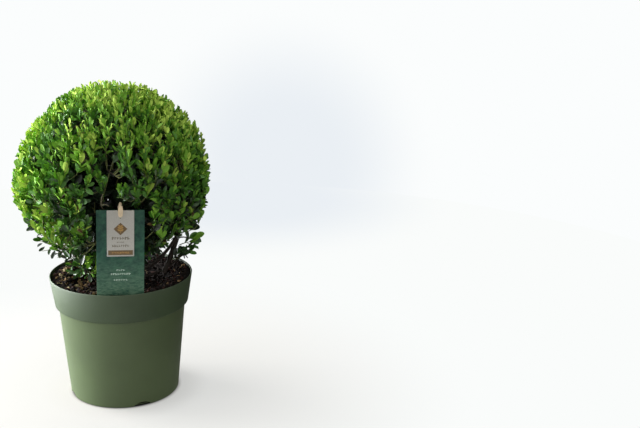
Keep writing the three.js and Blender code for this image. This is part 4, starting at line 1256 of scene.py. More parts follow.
def leaf_form(fold, curl, width_share):
    """One blade along +X, of length 1: a grid drawn in to the leaf's outline, folded and curled."""
    rows = len(LEAF_ROWS) - 1
    bm = bmesh.new()
    bmesh.ops.create_grid(bm, x_segments=rows, y_segments=2, size=0.5)
    for vert in bm.verts:
        row, side = round((vert.co.x + 0.5) * rows), round(2 * vert.co.y)
        along, half = LEAF_ROWS[row], LEAF_WIDTHS[row] * width_share / 2
        vert.co = (along, side * half, fold * abs(side) * half * 2 + curl * along * along)
    return mesh_from(bm, "leaf_form")


def form_arrays(mesh):
    """A form's corners and faces as arrays."""
    corners = np.array([vert.co for vert in mesh.vertices])
    faces = np.array([list(polygon.vertices) for polygon in mesh.polygons])
    bpy.data.meshes.remove(mesh)
    return corners, faces


def leaves_on(sprays, leaf_length, proud, numbers):
    """The leaves of a group of sprays, from the tip down, each with its root, axes, length and tone."""
    curves = sprays["curves"]
    spans = np.linalg.norm(np.diff(curves, axis=1), axis=2).sum(axis=1)
    roll = numbers.random(len(curves)) * 2 * math.pi
    grown = []
    count = sprays.get("leaves", LEAVES_ON_SPRAY)
    for order in range(count):
        age = order / (count - 1)
        share = np.clip(1 - order * LEAF_SPACING / spans, LEAF_LOWEST_SHARE, 1)
        root, axis = bezier_point(curves, share), bezier_heading(curves, share)
        sideways = normalised(np.cross(axis, LEAF_SIDEWAYS))
        turn = (roll + order * GOLDEN_ANGLE)[:, None]
        side = sideways * np.cos(turn) + np.cross(axis, sideways) * np.sin(turn)
        tilt = LEAF_TIP_TILT + (LEAF_FOOT_TILT - LEAF_TIP_TILT) * age ** LEAF_TILT_POWER
        tilt = np.radians(tilt + numbers.normal(0, LEAF_TILT_SPREAD, len(curves)))[:, None]
        direction = axis * np.cos(tilt) + side * np.sin(tilt)
        face = axis * np.sin(tilt) - side * np.cos(tilt) + UP * LEAF_LIGHT_PULL
        face = normalised(face - direction * np.sum(face * direction, axis=1, keepdims=True))
        twist = np.radians(numbers.normal(0, LEAF_TWIST, len(curves)))[:, None]
        face = face * np.cos(twist) + np.cross(direction, face) * np.sin(twist)
        full = TIP_LEAF_SHARE + (1 - TIP_LEAF_SHARE) * min(1, age * TIP_LEAF_GROWTH)
        luck = 1 + LEAF_LENGTH_SPREAD * (numbers.random(len(curves)) - 0.5)
        length = leaf_length * sprays["sizes"] * full * luck
        # Leaves further down the spray are darker: partly age and partly painted shade
        ageing_and_shade = LEAF_AGEING_AND_SHADE * (age - LEAF_AGEING_START)
        tone = sprays["tones"] + ageing_and_shade + numbers.normal(0, LEAF_TONE_LUCK, len(curves))
        grown.append([root, direction, face, length, tone])
    parts = [np.concatenate(column) for column in zip(*grown)]
    return cut_to_fit(dict(zip(("root", "direction", "face", "length", "tone"), parts)), proud)


def cut_to_fit(leaves, proud):
    """Shortens leaves that reach out of their space, and leaves out those that still do."""
    left = leaves
    kept = []
    for cut in LEAF_CUTS:
        length = left["length"] * cut
        fits = np.ones(len(length), bool)
        for share in LEAF_FIT_SHARES:
            points = left["root"] + left["direction"] * (length * share)[:, None]
            fits &= inside_surface(points, proud) & clear_of_pieces(points) & clear_of_cleft(points)
        kept.append({name: value[fits] for name, value in {**left, "length": length}.items()})
        left = {name: value[~fits] for name, value in left.items()}
    return {name: np.concatenate([group[name] for group in kept]) for name in leaves}


def leaves_mesh(name, leaves, forms, numbers):
    """Every leaf of a mass as one mesh, its tone as the number of its material."""
    corners, faces, tones = [], [], []
    count = 0
    which = numbers.integers(0, len(forms), len(leaves["length"]))
    tone = np.clip(np.round(leaves["tone"]), 0, DARKEST_TONE).astype(int)
    low_down = leaves["root"][:, 2] < CROWN_CENTRE[2]
    tone[(numbers.random(len(tone)) < BRONZE_SHARE) & low_down] = BRONZE_TONE
    for number, (form_corners, form_faces) in enumerate(forms):
        own = which == number
        direction, face = leaves["direction"][own], leaves["face"][own]
        across = np.cross(face, direction)
        basis = np.stack([direction, across, face], axis=1) * leaves["length"][own][:, None, None]
        placed = np.einsum("vi,nij->nvj", form_corners, basis) + leaves["root"][own][:, None]
        shift = np.arange(own.sum())[:, None, None] * len(form_corners) + count
        corners.append(placed.reshape(-1, 3))
        faces.append((form_faces[None] + shift).reshape(-1, form_faces.shape[1]))
        tones.append(np.repeat(tone[own], len(form_faces)))
        count += own.sum() * len(form_corners)
    return joined_mesh(name, np.concatenate(corners), np.concatenate(faces), np.concatenate(tones))


def joined_mesh(name, corners, faces, material_numbers):
    """A smooth mesh from arrays of corners and equal-sided faces."""
    mesh = bpy.data.meshes.new(name)
    sides = faces.shape[1]
    mesh.vertices.add(len(corners))
    mesh.vertices.foreach_set("co", corners.astype(np.float32).ravel())
    mesh.loops.add(faces.size)
    mesh.loops.foreach_set("vertex_index", faces.astype(np.int32).ravel())
    mesh.polygons.add(len(faces))
    mesh.polygons.foreach_set("loop_start", np.arange(0, faces.size, sides, dtype=np.int32))
    mesh.polygons.foreach_set("material_index", material_numbers.astype(np.int32))
    mesh.polygons.foreach_set("use_smooth", np.ones(len(faces), bool))
    mesh.update(calc_edges=True)
    return mesh


class HOLLY_OT_leaves(bpy.types.Operator):
    """Make the leaves of every mass and sprig"""
    bl_idname = "holly.leaves"
    bl_label = "Leaves"

    def execute(self, context):
        plant = context.scene.holly_plant
        materials = [holly_leaf(f"holly_leaf_{kind}", getattr(plant, f"{kind}_leaf"), gloss, sheen)
                     for kind, gloss, sheen in LEAF_KINDS]
        forms = [form_arrays(leaf_form(**form, width_share=plant.leaf_width_share)) for form in LEAF_FORMS]
        for order, entry in enumerate(plant_plan()):
            numbers = np.random.default_rng(MASS_SEED + order)
            proud = ANYWHERE if "sprig" in entry else LEAF_PROUD
            groups = [leaves_on(sprays, plant.leaf_length, proud, numbers)
                      for sprays in grown_mass(order)["sprays"]]
            name = entry["name"]
            groups += placed_leaves(name)
            leaves = {kind: np.concatenate([group[kind] for group in groups]) for kind in groups[0]}
            mesh = leaves_mesh(f"leaves_{name}", leaves, forms, numbers)
            keep_piece(f"leaves_{name}", mesh, materials, [f"foliage_{name}"])
        return {"FINISHED"}


# Twigs and bark

def twigs_mesh(name, paths, materials):
    """Thin round twigs along curves, each with radii at its foot and its tip, as one mesh."""
    curve = bpy.data.curves.new(name, "CURVE")
    for material in materials:
        curve.materials.append(material)
    curve.dimensions = "3D"
    curve.bevel_depth = 1
    curve.bevel_resolution = 0
    curve.use_fill_caps = True
    for path, radii, steps, material_number in paths:
        shares = np.linspace(0, 1, steps + 1)
        points = bezier_point(path, shares)
        spline = curve.splines.new("POLY")
        spline.points.add(steps)
        spline.points.foreach_set("co", np.column_stack([points, np.ones(steps + 1)]).ravel())
        thickness = radii[0] + (radii[1] - radii[0]) * shares
        spline.points.foreach_set("radius", thickness * MM)
        spline.material_index = material_number
    mesh = mesh_of_curve(curve)
    mesh.polygons.foreach_set("use_smooth", np.ones(len(mesh.polygons), bool))
    return mesh


def mass_paths(mass):
    """A mass's limbs and sprays, each with its radii in millimetres, steps and material's number."""
    start = mass["entry"]["bough"]["radii"][1] / MM
    paths = [(mass["stem"], (start, TWIG_RADII[0]), LIMB_STEPS["stem"], BARK)]
    paths += [(twig, TWIG_RADII, LIMB_STEPS["twig"], BARK) for twig in mass["twigs"]]
    paths += [(shoot, SHOOT_RADII, LIMB_STEPS["shoot"], BARK) for shoot in mass["shoots"]]
    for sprays in mass["sprays"]:
        paths += [(curve, SPRAY_RADII, LIMB_STEPS["spray"], YOUNG) for curve in sprays["curves"]]
    placed = PLACED_LIMBS.get(mass["entry"]["name"], ())
    paths += [(places_above_soil(limb["path"]), limb["radii"], LIMB_STEPS["placed"], limb["material"])
              for limb in placed]
    return paths


class HOLLY_OT_twigs(bpy.types.Operator):
    """Make the twigs and shoots inside every mass and sprig"""
    bl_idname = "holly.twigs"
    bl_label = "Twigs"

    def execute(self, context):
        plant = context.scene.holly_plant
        materials = [
            holly_bark("holly_twig_bark", plant.bark),
            holly_bark("young_holly_stem", plant.young_stem),
            # The dead twig's material is partly a painted highlight
            holly_bark("dead_holly_twig", plant.dead_twig_with_highlight),
        ]
        for order, entry in enumerate(plant_plan()):
            name = f"twigs_{entry['name']}"
            mesh = twigs_mesh(name, mass_paths(grown_mass(order)), materials)
            keep_piece(name, mesh, [], [f"foliage_{entry['name']}"])
        return {"FINISHED"}


def swept_limb(curve, radius_at, sides, rings):
    """A limb as a bmesh: a circle extruded ring by ring along a curve, with both ends closed."""
    bm = bmesh.new()
    shares = even_share(curve, np.linspace(0, 1, rings + 1))
    turned = Vector(bezier_heading(curve, 0.0)).orthogonal().normalized()
    ring = bmesh.ops.create_circle(bm, segments=sides, radius=1)["verts"]
    for number, share in enumerate(shares):
        heading = Vector(bezier_heading(curve, share))
        turned = (turned - heading * turned.dot(heading)).normalized()
        across, centre = heading.cross(turned), Vector(bezier_point(curve, share))
        if number:
            made = bmesh.ops.extrude_edge_only(bm, edges=ring_edges(ring))["geom"]
            ring = in_order([item for item in made if isinstance(item, bmesh.types.BMVert)], ring)
        for side, vert in enumerate(ring):
            turn = 2 * math.pi * side / sides
            outward = turned * math.cos(turn) + across * math.sin(turn)
            vert.co = centre + outward * radius_at(number / rings, turn, outward, centre)
    bmesh.ops.holes_fill(bm, edges=bm.edges, sides=sides)
    bmesh.ops.recalc_face_normals(bm, faces=bm.faces)
    return bm


def ring_edges(ring):
    """The edges between neighbours of a closed ring."""
    pairs = zip(ring, ring[1:] + ring[:1])
    return [next(edge for edge in a.link_edges if b in edge.verts) for a, b in pairs]


def in_order(made, ring):
    """The extruded corners, in the order of the ring that they came from."""
    fresh = set(made)
    return [next(edge.other_vert(v) for edge in v.link_edges if edge.other_vert(v) in fresh) for v in ring]


def bark_relief(place):
    """How far the ridges and small knobs of bark stand out at this place."""
    drawn_out = Vector((place.x, place.y, place.z * BARK_RIDGE_STRETCH))
    return BARK_RELIEF * noise.fractal(drawn_out / BARK_RIDGE_SIZE, 0.9, 2.1, 4)


class HOLLY_OT_main_stem(bpy.types.Operator):
    """Make the main stem with its root flare and bark"""
    bl_idname = "holly.main_stem"
    bl_label = "Main stem"

    def execute(self, context):
        def radius_at(share, turn, outward, centre):
            radius = stem_radius(share, turn)
            return radius + bark_relief(centre + outward * radius)

        bm = swept_limb(STEM_CURVE, radius_at, 2 * BARK_SIDES, 2 * BARK_RINGS)
        for vert in bm.verts:
            vert.co.z = max(vert.co.z, SOIL_TOP + GAP)
        bark = holly_bark("holly_stem_bark", context.scene.holly_plant.bark)
        keep_piece("stem_bark", mesh_from(bm, "stem_bark"), [bark], ["main_stem"])
        return {"FINISHED"}


class HOLLY_OT_boughs(bpy.types.Operator):
    """Make every bough with its bark"""
    bl_idname = "holly.boughs"
    bl_label = "Boughs"

    def execute(self, context):
        bark = holly_bark("holly_bough_bark", context.scene.holly_plant.bark)
        for entry in plant_plan():
            start, end = entry["bough"]["radii"]

            def radius_at(share, turn, outward, centre):
                radius = start + (end - start) * share
                return radius + bark_relief(centre + outward * radius) * BOUGH_RELIEF_SHARE

            bm = swept_limb(entry["bough"]["curve"], radius_at, BARK_SIDES, BARK_RINGS)
            name = f"bough_{entry['name']}"
            keep_piece(f"{name}_bark", mesh_from(bm, name), [bark], [name])
        return {"FINISHED"}


# Pot and soil

def arc(centre, radius, start, end, steps=POT_ARC_STEPS):
    """Points of an arc in a profile's plane, from one angle to another in degrees."""
    turns = np.radians(np.linspace(start, end, steps + 1))
    return [(centre[0] + radius * math.cos(turn), centre[1] + radius * math.sin(turn)) for turn in turns]


def turned_bmesh(profile, steps):
    """A profile of radii and heights turned once round Z, with its poles closed."""
    bm = bmesh.new()
    verts = [bm.verts.new((max(radius, 0), 0, height)) for radius, height in profile]
    edges = [bm.edges.new(pair) for pair in zip(verts, verts[1:])]
    bmesh.ops.spin(bm, geom=verts + edges, axis=(0, 0, 1), cent=(0, 0, 0), angle=2 * math.pi, steps=steps,
                   use_merge=True)
    bmesh.ops.remove_doubles(bm, verts=bm.verts, dist=1e-6)
    bmesh.ops.recalc_face_normals(bm, faces=bm.faces)
    return bm


def wall_points(inset):
    """The pot's wall from the foot to under the band, drawn in by a thickness."""
    shoulder = POT_HEIGHT - POT_BAND_HEIGHT - POT_SHOULDER_DROP
    return [(POT_FOOT_RADIUS - inset, POT_FOOT_ROUND + inset), (POT_SHOULDER_RADIUS - inset, shoulder)]


def pot_profile():
    """The pot's section: foot, wall, shoulder, band, rounded lip and inside."""
    shoulder = wall_points(0)[1]
    band = (POT_BAND_FOOT_RADIUS, POT_HEIGHT - POT_BAND_HEIGHT)
    outside = [(0, 0), *arc((POT_FOOT_RADIUS - POT_FOOT_ROUND, POT_FOOT_ROUND), POT_FOOT_ROUND, -90, 0)]
    outside += [(shoulder[0] + out, shoulder[1] - drop) for out, drop in POT_SHOULDER_CORNER]
    outside += arc((band[0] - POT_BAND_EDGE, band[1] + POT_BAND_EDGE), POT_BAND_EDGE, *POT_BAND_ARC)
    outside += arc((POT_RIM_RADIUS - POT_LIP, POT_HEIGHT - POT_LIP), POT_LIP, 0, 180)
    inner_foot, inner_shoulder = wall_points(POT_WALL)
    inside = [(band[0] - POT_WALL, band[1] + POT_WALL), (inner_shoulder[0], inner_shoulder[1] + POT_WALL)]
    inside += [inner_foot, (inner_foot[0] - POT_FOOT_ROUND, POT_WALL), (0, POT_WALL)]
    return outside + inside


def notch_cutter():
    """Arched drain notches round the pot's foot, as one object to cut with."""
    bm = bmesh.new()
    for azimuth in NOTCH_AZIMUTHS:
        place = Matrix.Rotation(math.radians(azimuth), 4, "Z")
        place @= Matrix.Translation((POT_FOOT_RADIUS + POT_WALL - NOTCH_DEPTH / 2, 0, 0))
        place @= Matrix.Rotation(math.pi / 2, 4, "Y") @ Matrix.Diagonal((NOTCH_HEIGHT, NOTCH_WIDTH / 2, 1, 1))
        bmesh.ops.create_cone(bm, cap_ends=True, segments=NOTCH_SIDES, radius1=1, radius2=1,
                              depth=NOTCH_DEPTH, matrix=place)
    return bpy.data.objects.new("notch_cutter", mesh_from(bm, "notch_cutter"))


def cut_notches(mesh):
    """Cuts the drain notches out of the pot's mesh."""
    pot, cutter = bpy.data.objects.new("uncut_pot", mesh), notch_cutter()
    for made in (pot, cutter):
        bpy.context.scene.collection.objects.link(made)
    cut = pot.modifiers.new("notches", "BOOLEAN")
    cut.operation, cut.object, cut.solver = "DIFFERENCE", cutter, "EXACT"
    result = bpy.data.meshes.new_from_object(pot.evaluated_get(bpy.context.evaluated_depsgraph_get()))
    for made in (pot, cutter):
        bpy.data.objects.remove(made)
    return result


class HOLLY_OT_pot(bpy.types.Operator):
    """Make the pot with its band, lip and drain notches"""
    bl_idname = "holly.pot"
    bl_label = "Pot"

    def execute(self, context):
        mesh = cut_notches(mesh_from(turned_bmesh(pot_profile(), POT_STEPS), "pot_plastic"))
        mesh.set_sharp_from_angle(angle=math.radians(POT_SHARP_ANGLE))
        pot = context.scene.holly_pot
        plastic = moulded_polypropylene(pot.plastic, pot.band)
        keep_piece("pot_plastic", mesh, [plastic], ["pot"])
        return {"FINISHED"}


def soil_height(x, y):
    """The soil's uneven top: level round the stem, crumbly outside it, and banked up at the wall."""
    reach = math.hypot(x, y)
    loose = float(smoothstep(reach, SOIL_LEVEL_RADIUS, 2 * SOIL_LEVEL_RADIUS))
    swell = noise.noise(Vector((x, y, 0)) / SOIL_SWELL_SIZE) * SOIL_SWELL * loose
    crumb = noise.fractal(Vector((x, y, 0.01)) / SOIL_CRUMB_SIZE, 0.8, 2.2, 4) * SOIL_CRUMB
    bank = SOIL_BANK * float(smoothstep(reach, SOIL_BANK_START, SOIL_BANK_END))
    return SOIL_TOP + swell + bank + crumb * (SOIL_LEVEL_CRUMB + (1 - SOIL_LEVEL_CRUMB) * loose)


class HOLLY_OT_soil(bpy.types.Operator):
    """Make the potting soil that fills the pot"""
    bl_idname = "holly.soil"
    bl_label = "Potting soil"

    def execute(self, context):
        skin = POT_WALL + SOIL_WALL_GAP
        foot, shoulder = wall_points(skin)
        edge = pot_inside_radius(SOIL_TOP) - SOIL_WALL_GAP
        profile = [(0, skin), (foot[0] - POT_FOOT_ROUND, skin), foot, shoulder]
        profile += [(shoulder[0], shoulder[1] + skin), (edge, SOIL_TOP - 2 * MM)]
        profile += [(edge * ring / SOIL_RINGS, SOIL_TOP) for ring in range(SOIL_RINGS, -1, -1)]
        bm = turned_bmesh(profile, SOIL_STEPS)
        for vert in bm.verts:
            if vert.co.z > SOIL_TOP - MM:
                reach = math.hypot(vert.co.x, vert.co.y)
                vert.co.z = soil_height(vert.co.x, vert.co.y)
                if reach > edge - MM:
                    to_wall = (pot_inside_radius(vert.co.z) - SOIL_WALL_GAP) / reach
                    vert.co.x, vert.co.y = vert.co.x * to_wall, vert.co.y * to_wall
        soil = damp_potting_mix(context.scene.holly_pot.soil)
        keep_piece("soil_bed", mesh_from(bm, "soil_bed"), [soil], ["potting_soil"])
        return {"FINISHED"}


def chip_form(seed):
    """A broken chip of length 1: a block with knocked-off corners."""
    bm = bmesh.new()
    bmesh.ops.create_cube(bm, size=1)
    bmesh.ops.subdivide_edges(bm, edges=bm.edges, cuts=1, use_grid_fill=True)
    noise.seed_set(CHIP_SEED)  # without it noise_vector takes its offsets from the clock
    for vert in bm.verts:
        knock = noise.noise_vector(vert.co * 1.7 + Vector((seed, 0, 0)))
        vert.co = (vert.co.normalized() * 0.62 + vert.co * 0.25 + knock * 0.16)
    bmesh.ops.scale(bm, vec=(1, 0.6, 0.4), verts=bm.verts)
    return mesh_from(bm, "chip_form", smooth=False)


def random_turns(numbers, count, lie):
    """Turn matrices that point forms anywhere round Z and tip them a little."""
    azimuths = numbers.random(count) * 360
    tips = numbers.normal(0, lie, (2, count))[0]
    rolls = numbers.normal(0, lie, count)
    turns = []
    for azimuth, tip, roll in zip(azimuths, tips, rolls):
        turn = Matrix.Rotation(math.radians(azimuth), 3, "Z") @ Matrix.Rotation(math.radians(tip), 3, "Y")
        turns.append(turn @ Matrix.Rotation(math.radians(roll), 3, "X"))
    return np.array(turns)


def chip_places(numbers, count):
    """Places on the soil, more of them towards the rim, clear of the stem and the card."""
    reach = np.sqrt(numbers.random(count)) * (pot_inside_radius(SOIL_TOP) - CHIP_WALL_GAP)
    turn = numbers.random(count) * 2 * math.pi
    places = np.column_stack([reach * np.cos(turn), reach * np.sin(turn), np.zeros(count)])
    places[:, 2] = [soil_height(x, y) for x, y in places[:, :2]]
    away = np.hypot(places[:, 0] - STEM_FOOT[0] * MM, places[:, 1] - STEM_FOOT[1] * MM)
    card = np.abs(places[:, 0] - LABEL_FOOT[0] * MM) > LABEL_WIDTH / 2 + CHIP_CARD_GAPS[0]
    card |= np.abs(places[:, 1] - LABEL_FOOT[1] * MM) > CHIP_CARD_GAPS[1]
    return places[(away > CHIP_STEM_GAP) & card]


class HOLLY_OT_chips(bpy.types.Operator):
    """Scatter bark chips and dry stalks on the soil"""
    bl_idname = "holly.chips"
    bl_label = "Chips and stalks"

    def execute(self, context):
        pot = context.scene.holly_pot
        numbers = np.random.default_rng(CHIP_SEED)
        places = chip_places(numbers, pot.chip_count)
        turns = random_turns(numbers, len(places), CHIP_LIE)
        sizes = (CHIP_SIZES[0] + CHIP_SIZES[1] * numbers.random(len(places)) ** CHIP_SIZE_POWER) * MM
        in_pale_corner = (places[:, 0] < PALE_CHIP_CORNER[0]) & (places[:, 1] > PALE_CHIP_CORNER[1])
        luck = numbers.random(len(places))
        kinds = np.where(in_pale_corner, np.digitize(luck, PALE_CORNER_SHARES), np.digitize(luck, OTHER_CHIP_SHARES))
        corners, faces, kinds_of_faces = [], [], []
        forms = [form_arrays(chip_form(seed)) for seed in range(CHIP_FORMS)]
        for at, (place, turn, size) in enumerate(zip(places, turns, sizes)):
            form_corners, form_faces = forms[at % len(forms)]
            faces.append(form_faces + len(form_corners) * at)
            corners.append(form_corners @ turn.T * size + place + UP * size * CHIP_RISE)
            kinds_of_faces.append(np.full(len(form_faces), kinds[at]))
        arrays = [np.concatenate(column) for column in (corners, faces, kinds_of_faces)]
        mesh = joined_mesh("bark_chips", *arrays)
        mesh.polygons.foreach_set("use_smooth", np.zeros(len(mesh.polygons), bool))
        materials = [dry_chip(f"{kind}_bark_chip", linear(code)) for kind, code in CHIP_COLOURS]
        keep_piece("bark_chips", mesh, materials)
        self.make_straws(pot.straw_count)
        return {"FINISHED"}

    def make_straws(self, count):
        """Thin dry stalks and roots that lie on the soil."""
        numbers = np.random.default_rng(STRAW_SEED)
        paths = []
        for place in chip_places(numbers, count):
            azimuth = numbers.random() * 360
            reach = (STRAW_LENGTHS[0] + STRAW_LENGTHS[1] * numbers.random()) * MM
            along = unit_from(azimuth, numbers.normal(*STRAW_RISES)) * reach
            lift = UP * (STRAW_LIFTS[0] + STRAW_LIFTS[1] * numbers.random()) * MM
            path = np.array([place + lift * 0.4, place + along / 2 + lift, place + along + lift * 0.3])
            paths.append((path, STRAW_RADII, STRAW_STEPS, 0))
        stalk = dry_chip("dry_stalk", linear("#A3916C"))
        keep_piece("dry_stalks", twigs_mesh("dry_stalks", paths, [stalk]), [])


# Label, panel, print and peg

def label_piece(bm, name, material, nodes=(), smooth=False):
    """Stands a piece made in the label's own frame in its place."""
    bmesh.ops.transform(bm, matrix=LABEL_PLACE, verts=bm.verts)
    return keep_piece(name, mesh_from(bm, name, smooth), [material], nodes)


def thin_block(bm, low, high):
    """A block between two corners, added to a bmesh."""
    middle, size = (Vector(low) + Vector(high)) / 2, Vector(high) - Vector(low)
    matrix = Matrix.Translation(middle) @ Matrix.Diagonal((*size, 1))
    return bmesh.ops.create_cube(bm, size=1, matrix=matrix)["verts"]


def sheet_bmesh(width, height, thickness, corner, low):
    """A sheet with rounded corners and softened edges, its foot at a height."""
    bm = bmesh.new()
    thin_block(bm, (-width / 2, -thickness / 2, low), (width / 2, thickness / 2, low + height))
    upright = [edge for edge in bm.edges if abs(edge.verts[0].co.y - edge.verts[1].co.y) > thickness / 2]
    bmesh.ops.bevel(bm, geom=upright, offset=corner, affect="EDGES", segments=4, profile=0.5, material=-1)
    rims = [edge for edge in bm.edges if abs(edge.verts[0].co.y - edge.verts[1].co.y) < thickness / 10]
    bmesh.ops.bevel(
        bm, geom=rims, offset=thickness * 0.2, affect="EDGES", segments=2, profile=0.5, material=-1)
    return bm


PANEL_FRONT = -(LABEL_THICKNESS / 2 + GAP + PANEL_THICKNESS)
PANEL_FOOT = LABEL_HEIGHT - PANEL_HEIGHT


class HOLLY_OT_label(bpy.types.Operator):
    """Make the label's card and its paper panel"""
    bl_idname = "holly.label"
    bl_label = "Label"

    def execute(self, context):
        label = context.scene.holly_label
        card = sheet_bmesh(LABEL_WIDTH, LABEL_HEIGHT, LABEL_THICKNESS, CARD_CORNER, 0)
        label_piece(card, "card_sheet", coated_card(label.card), ["label_card"])
        panel = sheet_bmesh(PANEL_WIDTH, PANEL_HEIGHT, PANEL_THICKNESS, PANEL_CORNER, PANEL_FOOT)
        bmesh.ops.translate(panel, vec=(0, PANEL_FRONT + PANEL_THICKNESS / 2, 0), verts=panel.verts)
        label_piece(panel, "panel_paper", uncoated_paper(label.panel), ["label_panel"])
        return {"FINISHED"}


def ink_plate(bm, centre, size, front):
    """A flat plate of ink on the surface at this depth."""
    middle = Vector((centre[0], front, centre[1]))
    half = Vector((size[0] / 2, INK_THICKNESS, size[1] / 2))
    thin_block(bm, middle - half, middle + half)


def ink_row(bm, centre, width, height, front, marks):
    """A row of plain strokes, uneven in height, that spell nothing."""
    step, numbers = width / marks, np.random.default_rng(marks)
    for mark in range(marks):
        place = (centre[0] + (mark - (marks - 1) / 2) * step, centre[1])
        tall, wide = height * (0.6 + 0.4 * numbers.random()), step * (0.3 + 0.3 * numbers.random())
        ink_plate(bm, (place[0] - step * 0.14, place[1]), (wide * 0.8, tall), front)
        ink_plate(bm, (place[0] + step * 0.2, place[1] + (numbers.random() - 0.5) * tall * 0.7),
                  (wide * 1.2, tall * 0.34), front)


def ink_rows(bm, rows, foot, front):
    """Rows of strokes at heights over a foot."""
    for row in rows:
        ink_row(bm, (0, foot + row["height"] * MM), row["width"] * MM, row["tall"] * MM, front, row["marks"])


def ink_leaf(bm, foot, azimuth, length, front):
    """A small leaf of the printed sprig."""
    made = bmesh.ops.create_circle(bm, cap_ends=True, segments=20, radius=0.5)["verts"]
    place = Matrix.Translation((foot[0], front - INK_THICKNESS * 1.6, foot[1]))
    place @= Matrix.Rotation(math.radians(-azimuth), 4, "Y") @ Matrix.Rotation(math.pi / 2, 4, "X")
    for vert in made:
        along, across = vert.co.x + 0.5, vert.co.y
        vert.co = (along, across * 0.55 * math.sin(math.pi * min(1, along * 0.94 + 0.03)) ** 0.4, 0)
    bmesh.ops.scale(bm, vec=(length, length, 1), verts=made)
    bmesh.ops.transform(bm, matrix=place, verts=made)


class HOLLY_OT_label_print(bpy.types.Operator):
    """Print a plain sprig mark, a band and dashed rules on the panel and the card"""
    bl_idname = "holly.label_print"
    bl_label = "Label print"

    def execute(self, context):
        label = context.scene.holly_label
        brown, gold = printing_ink("brown_ink", label.brown_ink), printing_ink("gold_ink", label.gold_ink)
        plates = bmesh.new()
        turned = Matrix.Translation((0, PANEL_FRONT, MARK_HEIGHT)) @ Matrix.Rotation(math.pi / 4, 4, "Y")
        corner = Vector((MARK_HALF, INK_THICKNESS, MARK_HALF))
        bmesh.ops.transform(plates, matrix=turned, verts=thin_block(plates, -corner, corner))
        ink_plate(plates, (0, PANEL_FOOT + BAND_RISE * MM), BAND_SIZE, PANEL_FRONT)
        label_piece(plates, "brown_print", brown)
        sprig = bmesh.new()
        ink_plate(sprig, (0, MARK_HEIGHT - MARK_STALK_DROP), MARK_STALK, PANEL_FRONT - INK_THICKNESS)
        for height, length in MARK_LEAVES:
            for azimuth in MARK_LEAF_AZIMUTHS:
                ink_leaf(sprig, (0, MARK_HEIGHT + height * MM), azimuth, length * MM, PANEL_FRONT)
        ink_rows(sprig, BAND_ROWS, PANEL_FOOT, PANEL_FRONT - INK_THICKNESS)
        label_piece(sprig, "gold_print", gold)
        rules = bmesh.new()
        ink_rows(rules, PANEL_ROWS, PANEL_FOOT, PANEL_FRONT)
        ink_plate(rules, (0, LABEL_HEIGHT - PEG_OVERLAP - PANEL_HOLE_DROP), PANEL_HOLE, PANEL_FRONT)
        label_piece(rules, "grey_print", printing_ink("grey_ink", linear("#8A8373")))
        lines = bmesh.new()
        ink_rows(lines, CARD_ROWS, 0, -LABEL_THICKNESS / 2)
        label_piece(lines, "pale_print", printing_ink("pale_ink", linear("#C4DACB")))
        return {"FINISHED"}


def peg_leg(facing):
    """A slip of wood with a round end, its outer face narrowed to the jaw, and its edge marked."""
    bm = bmesh.new()
    bmesh.ops.create_circle(bm, cap_ends=True, segments=32, radius=PEG_WIDTH / 2)
    straight = PEG_LENGTH - PEG_WIDTH
    for vert in bm.verts:
        vert.co.y += straight / 2 if vert.co.y > 0 else -straight / 2
    bmesh.ops.subdivide_edges(bm, edges=[edge for edge in bm.edges if edge.calc_length() > PEG_WIDTH], cuts=8)
    for vert in bm.verts:
        vert.co.x *= np.interp(vert.co.y / PEG_LENGTH, PEG_OUTLINE["places"], PEG_OUTLINE["widths"])
    inner = bmesh.ops.inset_region(bm, faces=bm.faces, thickness=PEG_WIDTH * 0.2, use_even_offset=True)
    edge = bm.verts.layers.float.new("edge")
    rim = {vert for face in inner["faces"] for vert in face.verts}
    core = [face for face in bm.faces if face not in set(inner["faces"])]
    for vert in rim:
        vert[edge] = 1.0
    for face in core:
        for vert in face.verts:
            vert[edge] = 0.0
    grown = bmesh.ops.extrude_face_region(bm, geom=bm.faces)["geom"]
    for item in grown:
        if isinstance(item, bmesh.types.BMVert):
            share = (item.co.y + PEG_LENGTH / 2) / PEG_LENGTH
            jaw = 0.6 + 0.4 * min(1, share / 0.4)
            handle = 1 if share < 0.6 else 1.2 - share / 3
            item.co.z = PEG_LEG_THICKNESS * jaw * handle
    bmesh.ops.recalc_face_normals(bm, faces=bm.faces)
    turn = Matrix.Rotation(math.pi / 2, 4, "X")
    if facing > 0:
        turn = Matrix.Rotation(math.pi, 4, "Z") @ turn
    face = LABEL_THICKNESS / 2 + GAP if facing > 0 else PANEL_FRONT - GAP
    middle = LABEL_HEIGHT - PEG_OVERLAP + PEG_LENGTH / 2
    bmesh.ops.transform(bm, matrix=Matrix.Translation((0, face, middle)) @ turn, verts=bm.verts)
    return bm


class HOLLY_OT_peg(bpy.types.Operator):
    """Make the small wooden peg and its spring"""
    bl_idname = "holly.peg"
    bl_label = "Peg"

    def execute(self, context):
        wood = beech_wood(context.scene.holly_label.peg)
        for name, facing in (("front", -1), ("back", 1)):
            label_piece(peg_leg(facing), f"peg_{name}_wood", wood, [f"peg_leg_{name}"])
        mesh = spring_mesh()
        mesh.transform(LABEL_PLACE)
        keep_piece("peg_wire", mesh, [steel_wire()], ["peg_spring"])
        return {"FINISHED"}


